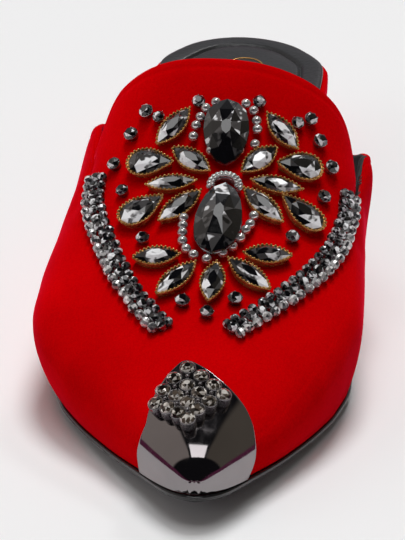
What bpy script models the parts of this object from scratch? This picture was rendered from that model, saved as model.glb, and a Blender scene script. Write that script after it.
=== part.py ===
"""A pointed, backless velvet mule for the right foot, on a low wrapped heel.

The toe points to -Y and the heel to +Y, +X is the inner side of the foot, and the floor is Z = 0.
All sizes below are millimetres. Along the shoe, s runs from the back of the heel (0) to the tip of
the toe (LENGTH). Round the foot, an angle in degrees runs from the crown line (0) over the widest
line (90) to the feather edge (120), where the upper meets the sole; it is negative on the outer side.
"""

import math

import bmesh
import bpy
import numpy as np
from mathutils import Matrix, Vector

MM = 0.001

# Driving dimensions
LENGTH = 258.0              # EU 38: a 240 mm foot and an 18 mm pointed toe
SOLE_THICKNESS = 3.5
SOLE_BEVEL = (4.6, 2.3, 0.4, 0.4)  # width and height of its edge's bevels, below and above
HEEL_LENGTH = 50.0
HEEL_TAPER = 3.0            # how much narrower the heel is at its lift, all round
LIFT_THICKNESS = 4.0
FOOTBED_THICKNESS = 5.0     # wrapped board that shows round the heel
BOARD_THICKNESS = 2.4       # the same board inside the forefoot
FOOTBED_BEVEL = (0.4, 0.8, 0.8, 1.2)
SOCK_THICKNESS = 1.6
SOCK_BEVEL = (0.2, 0.4, 0.8, 0.7)
WALL = 2.0                  # upper: velvet, backing and lining
CAP_METAL = 0.8
GAP = 0.3                   # clearance between pieces that touch
TOE_MARGIN = 2.4            # sole that shows in front of the upper
UPPER_TIP = LENGTH - TOE_MARGIN

# The sole's plan and underside. "centre" is the x of its middle, "half" its half width.
SOLE_COLUMNS = ("s", "centre", "half", "underside")
SOLE = (
    (0, 1.5, 0.0, 17.0),
    (10, 1.5, 20.8, 17.0),
    (25, 1.4, 28.4, 17.0),
    (50, -0.8, 28.9, 16.7),
    (75, -3.4, 28.1, 13.5),
    (100, -4.4, 29.0, 8.7),
    (125, -4.1, 32.4, 4.0),
    (145, -3.0, 36.0, 0.9),
    (160, -2.5, 38.5, 0.0),
    (180, -2.2, 40.8, 0.0),
    (190, -2.3, 40.5, 0.0),
    (205, -2.5, 36.9, 0.0),
    (215, -2.3, 32.4, 0.5),
    (229, -1.7, 24.3, 1.6),
    (245, -1.1, 13.7, 3.6),
    (255.5, -0.9, 6.0, 5.4),
    (258, -0.9, 0.0, 5.9),
)

# The edge of sole that shows outside the upper.
MARGIN_COLUMNS = ("s", "margin")
MARGIN = ((0, 0.6), (120, 0.6), (225, 0.6), (245, 1.1), (LENGTH, TOE_MARGIN))

# The upper's sections. "outer" and "inner" are how far each side swells past the feather edge,
# "belt" is the height of the widest line over that edge, "rise" the crown's height over it,
# "lean" how far the crown leans to the inner side, and "square" the exponent of the arch.
UPPER_COLUMNS = ("s", "outer", "inner", "belt", "rise", "lean", "square")
UPPER = (
    (60, 2.0, 4.0, 12.0, 76.0, 3.5, 2.6),
    (100, 3.0, 6.5, 17.0, 74.0, 3.5, 2.6),
    (130, 4.2, 8.5, 20.0, 67.0, 3.5, 2.6),
    (145, 5.6, 7.2, 20.5, 57.5, 3.2, 2.5),
    (160, 6.1, 4.1, 20.5, 48.5, 3.0, 2.4),
    (180, 6.1, 1.8, 20.0, 38.5, 2.0, 2.3),
    (198, 6.6, 2.8, 18.0, 31.5, 0.5, 2.2),
    (215, 4.4, 2.9, 13.0, 25.6, -0.4, 2.1),
    (230, 1.4, 2.0, 7.7, 19.6, 0.0, 2.0),
    (245, 0.5, 1.0, 4.2, 12.9, 0.4, 2.0),
    (253, 0.1, 0.1, 3.2, 8.0, 0.6, 2.0),
    (UPPER_TIP, 0.0, 0.0, 3.4, 3.4, 0.0, 2.0),
)

# The topline: the s where the upper ends, by angle. The tongue runs down to a notch on each side,
# and behind the notch a wing with a rounded ear slopes down to the sole at the waist.
TOPLINE_COLUMNS = ("angle", "s")
OUTER_TOPLINE = (
    (0, 131.0),
    (30, 130.4),
    (44, 130.6),
    (49.5, 132.4),
    (52.5, 136.5),
    (54.3, 142.0),
    (56, 147.2),
    (57.2, 138.4),
    (58.4, 135.2),
    (60, 134.0),
    (62.5, 133.6),
    (65, 132.4),
    (68.5, 128.6),
    (72, 123.2),
    (77, 115.8),
    (84, 106.0),
    (87, 100.4),
    (89, 95.2),
    (90, 91.0),
    (91, 90.3),
    (99, 85.0),
    (110, 78.4),
    (120, 72.0),
)
INNER_TOPLINE = (
    (0, 131.0),
    (25, 132.2),
    (45, 132.4),
    (53, 133.6),
    (56.8, 136.4),
    (58.8, 140.2),
    (60.8, 146.6),
    (63, 151.2),
    (64, 140.5),
    (65, 137.4),
    (66.6, 136.0),
    (69.2, 134.4),
    (72, 131.6),
    (75, 128.2),
    (78.5, 124.4),
    (82.6, 118.2),
    (85, 113.8),
    (87, 109.2),
    (89, 103.6),
    (90, 99.4),
    (91, 98.6),
    (102, 89.0),
    (111, 80.6),
    (120, 72.0),
)
OUTER_NOTCH = (56.0, 147.2)  # angle and s at the bottom of each notch
INNER_NOTCH = (63.0, 151.2)
OUTER_FLARE = 1.6           # how far the ears stand out from the foot
INNER_FLARE = 3.9
EAR_RUN = 13.0              # length over which they do so, from the notch back
EAR_FADE = 36.0             # degrees below the notch over which the flare dies away
EAR_CUP = 7.0               # degrees over which an ear's free edge curls back towards the foot
EAR_LIP = 0.25              # share of the flare left at that edge
FEATHER_ANGLE = 120.0

OUTER_ANGLES = (
    120, 110, 100, 90, 84, 77, 72, 68.5, 65, 62.5, 60, 58.4, 57.2, 56, 54.3, 52.5, 49.5, 44, 36, 27, 18, 9,
)
INNER_ANGLES = (
    9, 19, 28, 37, 45, 53, 56.8, 58.8, 60.8, 63, 64, 65, 66.6, 69.2, 72, 75, 78.5, 83, 90, 100, 110, 120,
)
TOE_ROWS = 15
BACK_ROWS = 9
WARP_START = 158.0          # in front of this, rows of the upper lie square to its length
HOLLOW_TIP = 247.5          # the upper is solid in front of this

# The toe cap's edge, by angle.
CAP_COLUMNS = ("angle", "s")
CAP_EDGE = (
    (-120, 243.6),
    (-76, 242.6),
    (-50, 240.2),
    (-38, 236.8),
    (-24, 231.0),
    (-12, 225.4),
    (-5, 222.8),
    (2, 224.6),
    (10, 227.6),
    (20, 231.2),
    (32, 235.0),
    (46, 238.6),
    (62, 241.6),
    (80, 243.4),
    (120, 245.4),
)
CAP_ANGLES = (-120, -105, -90, -76, -62, -50, -38, -24, -12, -5, 2, 9, 20, 30, 45, 62, 76, 90, 105, 120)
CAP_ROWS = 9

# How far in from the sole's plan the footbed and its sock stop, and how thick the footbed is.
BED_COLUMNS = ("s", "footbed", "sock", "thickness")
BED = (
    (0, 0.3, 1.2, FOOTBED_THICKNESS),
    (24, 0.3, 2.0, FOOTBED_THICKNESS),
    (64, 0.3, 2.0, FOOTBED_THICKNESS),
    (71, 3.5, 3.9, FOOTBED_THICKNESS),
    (90, 3.5, 3.9, 4.4),
    (125, 3.5, 3.9, BOARD_THICKNESS),
    (170, 4.1, 4.5, BOARD_THICKNESS),
    (225, 4.7, 5.1, BOARD_THICKNESS),
    (LENGTH, 13.0, 14.0, BOARD_THICKNESS),
)
SEAT_DISH = 1.4             # hollow of the seat for the wearer's heel
SEAT_MIDDLE = 31.0
SEAT_REACH = 28.0
ACROSS = (-1.0, -0.5, 0.0, 0.5, 1.0)

# The set stones on the vamp. "s" and "angle" place a stone's middle, and "turn" is how far its
# narrow end is turned from the toe towards the inner side, in degrees.
STONE_COLUMNS = ("name", "cut", "s", "angle", "turn", "length", "width")
GOLD_STONES = (
    ("outer_a", "marquise", 148.2, -14.0, 143, 14.6, 6.2),
    ("outer_b", "pear", 157.4, -21.6, 87, 13.2, 9.0),
    ("outer_c", "marquise", 157.6, -7.6, 54, 13.4, 6.4),
    ("outer_d", "marquise", 164.4, -13.4, 96, 14.2, 5.2),
    ("outer_e", "pear", 171.8, -22.6, 128, 14.0, 8.8),
    ("outer_f", "marquise", 171.6, -9.8, 136, 15.4, 6.2),
    ("outer_g", "marquise", 187.8, -15.2, 98, 13.0, 6.6),
    ("outer_h", "marquise", 195.4, -8.0, 142, 15.6, 6.2),
    ("middle", "marquise", 196.2, 2.0, 180, 14.6, 6.6),
    ("inner_a", "marquise", 148.0, 17.6, -138, 14.0, 6.2),
    ("inner_b", "pear", 156.2, 25.8, -85, 13.0, 8.8),
    ("inner_c", "marquise", 156.8, 10.4, -44, 13.4, 6.4),
    ("inner_d", "marquise", 163.4, 17.4, -92, 14.6, 5.4),
    ("inner_e", "pear", 170.0, 28.9, -125, 14.8, 8.0),
    ("inner_f", "marquise", 170.2, 13.4, -130, 15.4, 6.2),
    ("inner_g", "marquise", 185.6, 18.0, -80, 13.4, 6.4),
    ("inner_h", "marquise", 192.8, 13.0, -122, 15.6, 6.2),
)
LARGE_STONES = (
    ("back", "egg", 150.2, 0.6, 0, 21.4, 12.9),
    ("front", "egg", 176.4, 0.6, 177, 24.8, 13.0),
)
CHATON_COLUMNS = ("s", "angle", "width")
CHATONS = (
    (142.3, -25.7, 4.2),
    (144.8, -20.0, 3.6),
    (147.4, -31.4, 4.2),
    (154.5, -37.7, 4.0),
    (164.2, -31.8, 3.7),
    (181.0, -20.9, 3.9),
    (141.8, -6.0, 3.8),
    (141.2, 9.2, 3.8),
    (144.4, 23.6, 3.8),
    (142.0, 29.4, 3.9),
    (146.7, 34.1, 4.2),
    (152.1, 41.0, 4.2),
    (162.2, 38.4, 4.0),
    (178.0, 26.2, 4.0),
    (202.4, -5.4, 4.2),
    (206.0, 2.2, 3.9),
    (200.8, 10.6, 4.1),
)

# Half outlines of the cuts: how far along the stone, from -1 to 1, and how wide, from 0 to 1.
CUTS = {
    "marquise": ((-1, 0), (-0.62, 0.62), (-0.22, 0.96), (0.22, 0.96), (0.62, 0.62), (1, 0)),
    "pear": ((-1, 0), (-0.9, 0.52), (-0.58, 0.92), (-0.16, 1.0), (0.3, 0.78), (0.68, 0.42), (1, 0)),
    "egg": (
        (-1, 0), (-0.88, 0.5), (-0.55, 0.9), (-0.1, 1.0), (0.4, 0.86), (0.78, 0.54), (0.93, 0.28), (1, 0),
    ),
    "round": ((-1, 0), (-0.707, 0.707), (0, 1), (0.707, 0.707), (1, 0)),
}
# Profiles of a set stone: the height of each step in millimetres, and its share of the outline.
GOLD_PROFILE = ((0.0, 0.9), (1.8, 1.0), (3.2, 0.5))
BACK_PROFILE = ((0.0, 0.92), (1.8, 1.0), (3.4, 0.84), (5.2, 0.4))
FRONT_PROFILE = ((0.0, 0.92), (3.0, 1.0), (4.6, 0.84), (6.4, 0.4))
CHATON_PROFILE = ((0.0, 0.82), (1.6, 1.0), (2.8, 0.5))

# The crescent of small stones that holds the front large stone's narrow end.
CRESCENT_S = 165.6
CRESCENT_ANGLE = 1.0
CRESCENT_RADIUS = 3.75
CRESCENT_SWEEP = 96.0      # degrees to each side of its back
CRESCENT_WIDTH = 1.4
CRESCENT_HEIGHT = 3.2
CRESCENT_STEPS = 12

# The braids' middle lines, one on each side of the vamp.
BRAID_COLUMNS = ("s", "outer", "inner")
BRAIDS = (
    (156, -46.8, 54.2),
    (163, -46.2, 53.6),
    (170, -42.6, 51.0),
    (178, -37.0, 46.8),
    (187, -31.2, 39.4),
    (194, -26.2, 32.4),
    (201, -21.2, 25.4),
    (207, -16.4, 18.2),
    (211, -13.0, 13.2),
)
BRAID_STONES = 17
BRAID_SECTION = ((-1, 0.0), (1, 0.0), (1, 1.3), (0.45, 2.3), (-0.45, 2.3), (-1, 1.3))
BRAID_HALF_WIDTH = 3.0
BRAID_DIP = 0.3             # share of its height that a braid loses between two stones

# The toe cap's stones: a rhombus of four rows of four, from the s and angle of its corner stones.
RHOMBUS = {"back": (227.3, -5.1), "inner": (235.3, 16.4), "front": (243.6, -9.4), "outer": (237.3, -30.6)}
RHOMBUS_STONES = 4
RHOMBUS_RIM = 0.42          # how far the plate goes past its outer stones, in stones
RHOMBUS_BASE = 1.7
RHOMBUS_HEIGHT = 3.4

SOLE_ROWS = 30
BED_ROWS = 36
HEEL_STEPS = 13
BREAST_HOLLOW = 1.5
LIFT_EDGE = 0.8

JOIN_DECIMALS = 3
SHARP_ANGLE = 40.0


# Reading the tables ------------------------------------------------------------------------------

def smooth_curve(xs, ys, x):
    """A monotone cubic curve through the points (xs, ys), read at x."""
    xs = np.asarray(xs, float)
    ys = np.asarray(ys, float)
    x = np.clip(np.asarray(x, float), xs[0], xs[-1])
    step = np.diff(xs)
    grade = np.diff(ys) / step
    slope = np.zeros_like(ys)
    slope[0] = grade[0]
    slope[-1] = grade[-1]
    for k in range(1, len(xs) - 1):
        if grade[k - 1] * grade[k] > 0:
            near = 2 * step[k] + step[k - 1]
            far = step[k] + 2 * step[k - 1]
            slope[k] = (near + far) / (near / grade[k - 1] + far / grade[k])
    k = np.clip(np.searchsorted(xs, x, side="right") - 1, 0, len(xs) - 2)
    h = step[k]
    u = (x - xs[k]) / h
    start = (1 + 2 * u) * (1 - u) ** 2 * ys[k] + u * (1 - u) ** 2 * h * slope[k]
    end = u * u * (3 - 2 * u) * ys[k + 1] + u * u * (u - 1) * h * slope[k + 1]
    return start + end


def column(table, names, name):
    """One named column of a table."""
    return np.array([row[names.index(name)] for row in table], float)


def turn(s):
    """s as an angle round a half circle, so that a width read against it closes in a round end."""
    return np.arccos(np.clip(1 - 2 * np.asarray(s, float) / LENGTH, -1, 1))


def sole(name, s):
    """A column of the sole's table at s."""
    rows = column(SOLE, SOLE_COLUMNS, "s")
    values = column(SOLE, SOLE_COLUMNS, name)
    if name == "half":
        return smooth_curve(turn(rows), values, turn(s))
    return smooth_curve(rows, values, s)


def upper(name, s):
    """A column of the upper's table at s."""
    rows = column(UPPER, UPPER_COLUMNS, "s")
    values = column(UPPER, UPPER_COLUMNS, name)
    if name == "rise":
        return smooth_curve(turn(rows), values, turn(s))
    return smooth_curve(rows, values, s)


def margin(s):
    values = column(MARGIN, MARGIN_COLUMNS, "margin")
    return smooth_curve(column(MARGIN, MARGIN_COLUMNS, "s"), values, s)


def bed(name, s):
    """A column of the footbed's table at s."""
    values = column(BED, BED_COLUMNS, name)
    return smooth_curve(column(BED, BED_COLUMNS, "s"), values, s)


def topline(angle):
    """The s at which the upper ends, at each angle round the foot."""
    sides = []
    for table in (OUTER_TOPLINE, INNER_TOPLINE):
        angles = column(table, TOPLINE_COLUMNS, "angle")
        sides.append(smooth_curve(angles, column(table, TOPLINE_COLUMNS, "s"), np.abs(angle)))
    return np.where(np.asarray(angle) < 0, *sides)


def cap_edge(angle):
    """The s of the toe cap's edge, at each angle round the foot."""
    return smooth_curve(
        column(CAP_EDGE, CAP_COLUMNS, "angle"), column(CAP_EDGE, CAP_COLUMNS, "s"), angle
    )


def sole_top(s):
    return sole("underside", s) + SOLE_THICKNESS


# The plan ----------------------------------------------------------------------------------------

def outline(inset):
    """The sole's plan moved inward by inset(s): matching arrays of s and half width, heel to toe."""
    s = LENGTH * (1 - np.cos(np.linspace(0, math.pi, 241))) / 2
    half = sole("half", s)
    along = np.gradient(s)
    across = np.gradient(half)
    size = np.hypot(along, across)
    depth = inset(s)
    moved_s = s + across / size * depth
    moved_half = half - along / size * depth
    moved_s[[0, -1]] = depth[0], LENGTH - depth[-1]
    moved_half[[0, -1]] = 0.0
    keep = np.concatenate([[True], np.diff(np.maximum.accumulate(moved_s)) > 0])
    moved_s = moved_s[keep]
    moved_half = np.maximum(moved_half[keep], 0.0)
    end = np.flatnonzero(moved_half)[-1] + 2
    return moved_s[:end], moved_half[:end]


FEATHER_LINE = outline(margin)


# The upper's surface -----------------------------------------------------------------------------

def ear_flare(s, angle):
    """How far the wings stand out from the foot's own form: most at the ear, fading below it."""
    flare = 0.0
    for side, notch, size in ((-1, OUTER_NOTCH, OUTER_FLARE), (1, INNER_NOTCH, INNER_FLARE)):
        behind = np.clip((notch[1] - s) / EAR_RUN, 0, 1)
        below = np.clip((side * angle - notch[0]) / EAR_FADE, 0, 1)
        fade = np.cos(below * math.pi / 2) ** 2 * behind * behind * (3 - 2 * behind)
        curl = np.clip((side * angle - notch[0]) / EAR_CUP, 0, 1)
        fade = fade * (EAR_LIP + (1 - EAR_LIP) * np.sin(curl * math.pi / 2))
        flare = flare + np.where(side * angle >= notch[0], size * fade, 0.0)
    return flare


def form(s, angle):
    """Points (x, y, z) of the upper's outer surface."""
    s, angle = np.broadcast_arrays(np.asarray(s, float), np.asarray(angle, float))
    side = np.where(angle < 0, -1.0, 1.0)
    steep = np.radians(np.minimum(np.abs(angle), 90.0))
    tuck = np.clip((FEATHER_ANGLE - np.abs(angle)) / (FEATHER_ANGLE - 90.0), 0, 1)
    power = 2 / upper("square", s)
    swell = np.where(side < 0, upper("outer", s), upper("inner", s))
    belt = upper("belt", s)
    rise = upper("rise", s)
    feather = np.interp(s, *FEATHER_LINE)
    fade = np.interp(s, (UPPER_TIP - 20, UPPER_TIP), (1.0, 0.0))
    over = np.abs(angle) <= 90.0
    arch = (feather + swell * fade) * np.sin(steep) ** power
    under = feather + swell * fade * (1 - (1 - tuck) ** 2)
    across = np.where(over, arch, under) + ear_flare(s, angle)
    up = np.where(over, belt + (rise - belt) * np.cos(steep) ** power, belt * tuck)
    x = sole("centre", s) + upper("lean", s) * up / rise + side * across
    return np.stack([x, LENGTH / 2 - s, sole_top(s) + GAP + up], axis=-1)


def outward(s, angle):
    """Unit normals of that surface, pointing out of the shoe."""
    ds = 0.4
    da = 0.6
    s = np.asarray(s, float)
    angle = np.asarray(angle, float)
    low = np.maximum(angle - da, -FEATHER_ANGLE)
    high = np.minimum(angle + da, FEATHER_ANGLE)
    ahead = np.minimum(s + ds, UPPER_TIP)
    forward = form(ahead, angle) - form(s - ds, angle)
    round_foot = form(s, high) - form(s, low)
    normal = np.cross(forward, round_foot)
    size = np.linalg.norm(normal, axis=-1, keepdims=True)
    normal = normal / np.maximum(size, 1e-9)
    at_tip = (s > UPPER_TIP - 1e-6)[..., None]
    return np.where(at_tip, np.array([0.0, -1.0, 0.0]), normal)


def skin(s, angle, out):
    """The upper's surface moved outward by out, or inward where out is negative.

    The feather edge keeps to the sole whichever way it moves.
    """
    s, angle = np.broadcast_arrays(np.asarray(s, float), np.asarray(angle, float))
    points = form(s, angle) + outward(s, angle) * np.asarray(out, float)[..., None]
    floor = sole_top(LENGTH / 2 - points[..., 1]) + GAP
    on_feather = np.abs(angle) >= FEATHER_ANGLE
    points[..., 2] = np.where(on_feather, floor, np.maximum(points[..., 2], floor))
    return points


# Places on the upper -----------------------------------------------------------------------------

def axes_at(s, angle, turned_by=0.0):
    """Unit vectors on the surface at a point: along, across and out of it, as rows.

    "Along" points to the toe, turned by that many degrees towards the inner side.
    """
    out = outward(np.array([s]), np.array([angle]))[0]
    ahead = form(s + 0.5, angle) - form(s - 0.5, angle)
    ahead = ahead - out * (ahead @ out)
    ahead = ahead / np.linalg.norm(ahead)
    inward = np.cross(out, ahead)
    swing = math.radians(turned_by)
    along = ahead * math.cos(swing) + inward * math.sin(swing)
    return np.array([along, np.cross(out, along), out])


def cut_outline(cut, length, width):
    """A stone's outline: points (along, across) in order round it."""
    half = CUTS[cut]
    right = [(u * length / 2, v * width / 2) for u, v in half]
    left = [(u * length / 2, -v * width / 2) for u, v in half[-2:0:-1]]
    return right + left


def clearance(s, angle, axes, reach):
    """How far the upper stands above the tangent plane within reach (along, across) of a point."""
    around_s, around_angle = np.meshgrid(s + np.linspace(-14, 14, 29), angle + np.linspace(-24, 24, 33))
    local = (form(around_s, around_angle) - form(s, angle)) @ axes.T
    near = (np.abs(local[..., 0]) <= reach[0]) & (np.abs(local[..., 1]) <= reach[1])
    return float(np.max(np.where(near, local[..., 2], 0.0)))


# Building meshes ---------------------------------------------------------------------------------

def material(name, colour, roughness, metallic=0.0):
    """A Principled material of one plain colour."""
    made = bpy.data.materials.new(name)
    made.use_nodes = True
    shader = made.node_tree.nodes["Principled BSDF"]
    shader.inputs["Base Color"].default_value = (*colour, 1.0)
    shader.inputs["Roughness"].default_value = roughness
    shader.inputs["Metallic"].default_value = metallic
    return made


def solid(name, points, faces, finish):
    """An object from points in millimetres and faces; points that coincide are joined."""
    rounded = np.round(np.asarray(points, float).reshape(-1, 3), JOIN_DECIMALS)
    places, index = np.unique(rounded, axis=0, return_inverse=True)
    index = index.reshape(-1)
    shape = bmesh.new()
    corners = [shape.verts.new(Vector(p) * MM) for p in places]
    for face in faces:
        ring = [int(index[k]) for k in face]
        ring = [k for before, k in zip(ring[-1:] + ring, ring) if k != before]
        if len(set(ring)) > 2:
            shape.faces.new([corners[k] for k in ring])
    bmesh.ops.recalc_face_normals(shape, faces=shape.faces)
    if shape.calc_volume(signed=True) < 0:
        bmesh.ops.reverse_faces(shape, faces=shape.faces)
    mesh = bpy.data.meshes.new(name)
    shape.to_mesh(mesh)
    shape.free()
    mesh.materials.append(finish)
    mesh.shade_smooth()
    mesh.set_sharp_from_angle(angle=math.radians(SHARP_ANGLE))
    return place(name, mesh)


def place(name, mesh):
    """A new object of that mesh, carried by the shoe."""
    piece = bpy.data.objects.new(name, mesh)
    bpy.context.scene.collection.objects.link(piece)
    piece.parent = SHOE
    return piece


def grid_faces(rows, columns, first=0, flip=False):
    """Quads over a grid of points numbered row by row from first."""
    faces = []
    for i in range(rows - 1):
        for j in range(columns - 1):
            a = first + i * columns + j
            face = [a, a + 1, a + columns + 1, a + columns]
            faces.append(face[::-1] if flip else face)
    return faces


def shell(name, outer, inner, finish, open_front=False):
    """A closed wall between two grids of points over the same part of the upper.

    Its first row needs a face of its own only where it is open, not where its two halves meet.
    """
    rows, columns = outer.shape[:2]
    count = rows * columns
    faces = grid_faces(rows, columns) + grid_faces(rows, columns, count, flip=True)
    first_row = list(range(columns)) if open_front else []
    last_row = [(rows - 1) * columns + j for j in range(columns)]
    first_column = [i * columns for i in range(rows)]
    last_column = [i * columns + columns - 1 for i in range(rows)]
    for line, flip in ((first_row, True), (last_row, False), (first_column, False), (last_column, True)):
        for a, b in zip(line, line[1:]):
            face = [a, b, b + count, a + count]
            faces.append(face[::-1] if flip else face)
    return solid(name, np.concatenate([outer.reshape(-1, 3), inner.reshape(-1, 3)]), faces, finish)


def loft(name, loops, finish, closed_ends=(True, True)):
    """A body skinned over loops of equally many points, with its ends filled where they are open."""
    rings, size = loops.shape[:2]
    faces = []
    for i in range(rings - 1):
        for j in range(size):
            k = (j + 1) % size
            faces.append([i * size + j, i * size + k, (i + 1) * size + k, (i + 1) * size + j])
    points = list(loops.reshape(-1, 3))
    for ring, closed in ((0, closed_ends[0]), (rings - 1, closed_ends[1])):
        if closed:
            faces += [[ring * size + j, ring * size + (j + 1) % size, len(points)] for j in range(size)]
            points.append(loops[ring].mean(axis=0))
    return solid(name, points, faces, finish)


def turned(start, end, count):
    """Values of s from start to end, closer together where the sole's plan turns its ends."""
    return LENGTH * (1 - np.cos(np.linspace(turn(start), turn(end), count))) / 2


def stretched(plan, count):
    """Values of s over a whole plan, closer together at both of its ends."""
    first, last = plan[0][0], plan[0][-1]
    return first + (last - first) * (1 - np.cos(np.linspace(0, math.pi, count))) / 2


def slab_loops(rows, inset, low, high, edge):
    """Loops of a flat body whose plan lies inside the sole's by inset(s).

    low and high give the height at (s, q), where q runs from -1 to 1 across the body. edge holds
    the width and height of the bevel all round below, and the same above.
    """
    low_in, low_up, high_in, high_down = edge
    loops = []
    for s in rows:
        loop = []
        for depth, height, rise, across in (
            (low_in, low, 0.0, ACROSS),
            (0.0, low, low_up, (1,)),
            (0.0, high, -high_down, (1,)),
            (high_in, high, 0.0, ACROSS[::-1]),
            (0.0, high, -high_down, (-1,)),
            (0.0, low, low_up, (-1,)),
        ):
            plan = outline(lambda v: inset(v) + depth)
            at = float(np.clip(s, plan[0][0], plan[0][-1]))
            half = float(np.interp(at, *plan))
            for q in across:
                x = float(sole("centre", at)) + half * q
                loop.append((x, LENGTH / 2 - at, height(at, q) + rise))
        loops.append(loop)
    return np.array(loops, float)


# The pieces --------------------------------------------------------------------------------------

def make_outsole(finish):
    """The flat sole from the heel's breast to the toe: arch, tread, toe spring and pointed tip."""
    rows = turned(HEEL_LENGTH + GAP, LENGTH, SOLE_ROWS)
    loops = slab_loops(
        rows,
        np.zeros_like,
        lambda s, q: float(sole("underside", s)),
        lambda s, q: float(sole_top(s)),
        SOLE_BEVEL,
    )
    return loft("outsole", loops, finish, closed_ends=(True, False))


def seat_dish(s, q):
    """Depth of the hollow in the heel seat at q across."""
    near = np.clip(abs(s - SEAT_MIDDLE) / SEAT_REACH, 0, 1)
    return SEAT_DISH * math.cos(near * math.pi / 2) ** 2 * (1 - q * q)


def footbed_top(s, q):
    return float(sole_top(s) + GAP + bed("thickness", s)) - seat_dish(s, q)


BED_PLAN = outline(lambda s: bed("footbed", s))


def make_footbed(finish):
    """The wrapped board: full width round the heel, inside the upper in front of the waist."""
    loops = slab_loops(
        stretched(BED_PLAN, BED_ROWS),
        lambda s: bed("footbed", s),
        lambda s, q: float(sole_top(s) + GAP),
        footbed_top,
        FOOTBED_BEVEL,
    )
    return loft("footbed", loops, finish, closed_ends=(False, False))


def make_insole(finish):
    """The padded sock over the whole footbed."""
    loops = slab_loops(
        stretched(BED_PLAN, BED_ROWS),
        lambda s: bed("sock", s),
        lambda s, q: footbed_top(s, q) + GAP,
        lambda s, q: footbed_top(s, q) + GAP + SOCK_THICKNESS,
        SOCK_BEVEL,
    )
    return loft("insole", loops, finish, closed_ends=(False, False))


def heel_loop(drop, height):
    """A plan section of the heel, tapered by drop from 0 at the seat to 1 at the lift."""
    plan = outline(lambda s: np.full_like(s, GAP + HEEL_TAPER * drop))
    breast = HEEL_LENGTH - HEEL_TAPER * drop
    back = plan[0][0]
    bow = np.linspace(0, math.pi / 2, HEEL_STEPS)
    s = back + (breast - back) * (1 - np.cos(bow))
    half = np.interp(s, *plan)
    middle = sole("centre", s)
    outer = [(middle[k] - half[k], s[k]) for k in range(HEEL_STEPS - 1, 0, -1)]
    inner = [(middle[k] + half[k], s[k]) for k in range(HEEL_STEPS)]
    hollow = []
    for q in (0.5, 0.0, -0.5):
        hollow.append((middle[-1] + half[-1] * q, breast - BREAST_HOLLOW * (1 - q * q)))
    return [(x, LENGTH / 2 - v, height(v)) for x, v in outer + inner + hollow]


def make_heel(finish):
    """The low wrapped block under the seat."""
    foot = LIFT_THICKNESS + GAP
    loops = [
        heel_loop(0.0, lambda s: float(sole_top(s))),
        heel_loop(0.35, lambda s: foot + 0.6 * (float(sole_top(s)) - foot)),
        heel_loop(0.7, lambda s: foot + 0.28 * (float(sole_top(s)) - foot)),
        heel_loop(1.0, lambda s: foot),
    ]
    return loft("heel", np.array(loops, float), finish)


def make_heel_lift(finish):
    """The top piece that the heel stands on."""
    loops = [
        heel_loop(1.0, lambda s: LIFT_THICKNESS),
        heel_loop(1.0, lambda s: LIFT_EDGE),
        heel_loop(1.0 + LIFT_EDGE / HEEL_TAPER, lambda s: 0.0),
    ]
    return loft("heel_lift", np.array(loops, float), finish)


def upper_grid():
    """The s and angle of each point of the upper's grid, tip row first."""
    angles = np.array([-a for a in OUTER_ANGLES] + [0] + list(INNER_ANGLES), float)
    toe = (np.arange(TOE_ROWS + 1) / TOE_ROWS) ** 1.7
    front = UPPER_TIP - (UPPER_TIP - WARP_START) * toe[:, None] + 0 * angles
    back = (np.arange(1, BACK_ROWS + 1) / BACK_ROWS)[:, None]
    rear = WARP_START - (WARP_START - topline(angles)) * back
    return np.concatenate([front, rear]), angles


def make_upper(finish):
    """The velvet vamp, tongue and wings: one wall, open at the back and underneath."""
    s, angles = upper_grid()
    share = (HOLLOW_TIP - WARP_START) / (UPPER_TIP - WARP_START)
    hollow = np.where(s > WARP_START, WARP_START + (s - WARP_START) * share, s)
    inner = skin(hollow, angles, -WALL)
    inner[0] = sole("centre", HOLLOW_TIP), LENGTH / 2 - HOLLOW_TIP, sole_top(HOLLOW_TIP) + GAP
    return shell("upper", skin(s, angles, 0.0), inner, finish)


def make_toe_cap(finish):
    """The metal cap over the point of the toe."""
    angles = np.array(CAP_ANGLES, float)
    toe = (np.arange(CAP_ROWS + 1) / CAP_ROWS) ** 1.5
    s = UPPER_TIP - (UPPER_TIP - cap_edge(angles)) * toe[:, None]
    return shell("toe_cap", skin(s, angles, GAP + CAP_METAL), skin(s, angles, GAP), finish)


def seat_on_upper(piece, s, angle, turned_by, reach):
    """Sets a piece's own axes on the upper's surface, clear of it by GAP."""
    axes = axes_at(s, angle, turned_by)
    at = form(s, angle) + axes[2] * (clearance(s, angle, axes, reach) + GAP)
    piece.matrix_local = Matrix.Translation(Vector(at) * MM) @ Matrix(axes.T.tolist()).to_4x4()


def make_stone(name, cut, place_on, size, profile, finish):
    """A cut stone in its setting, placed by its s, angle and turn."""
    s, angle, turned_by = place_on
    edge = np.array(cut_outline(cut, *size))
    loops = [np.column_stack([edge * share, np.full(len(edge), height)]) for height, share in profile]
    stone = loft(name, np.array(loops), finish)
    seat_on_upper(stone, s, angle, turned_by, (size[0] / 2, size[1] / 2))


def make_stones(finish_gold, finish_plain):
    """All the stones of the motif."""
    for table, kind, profile, finish in (
        (GOLD_STONES, "gold_stone", GOLD_PROFILE, finish_gold),
        (LARGE_STONES[:1], "large_stone", BACK_PROFILE, finish_plain),
        (LARGE_STONES[1:], "large_stone", FRONT_PROFILE, finish_plain),
    ):
        for name, cut, s, angle, turned_by, length, width in table:
            make_stone(f"{kind}_{name}", cut, (s, angle, turned_by), (length, width), profile, finish)
    for number, (s, angle, width) in enumerate(CHATONS, 1):
        place_on = (s, angle, 0.0)
        make_stone(f"chaton_{number:02d}", "round", place_on, (width, width), CHATON_PROFILE, finish_plain)


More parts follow.
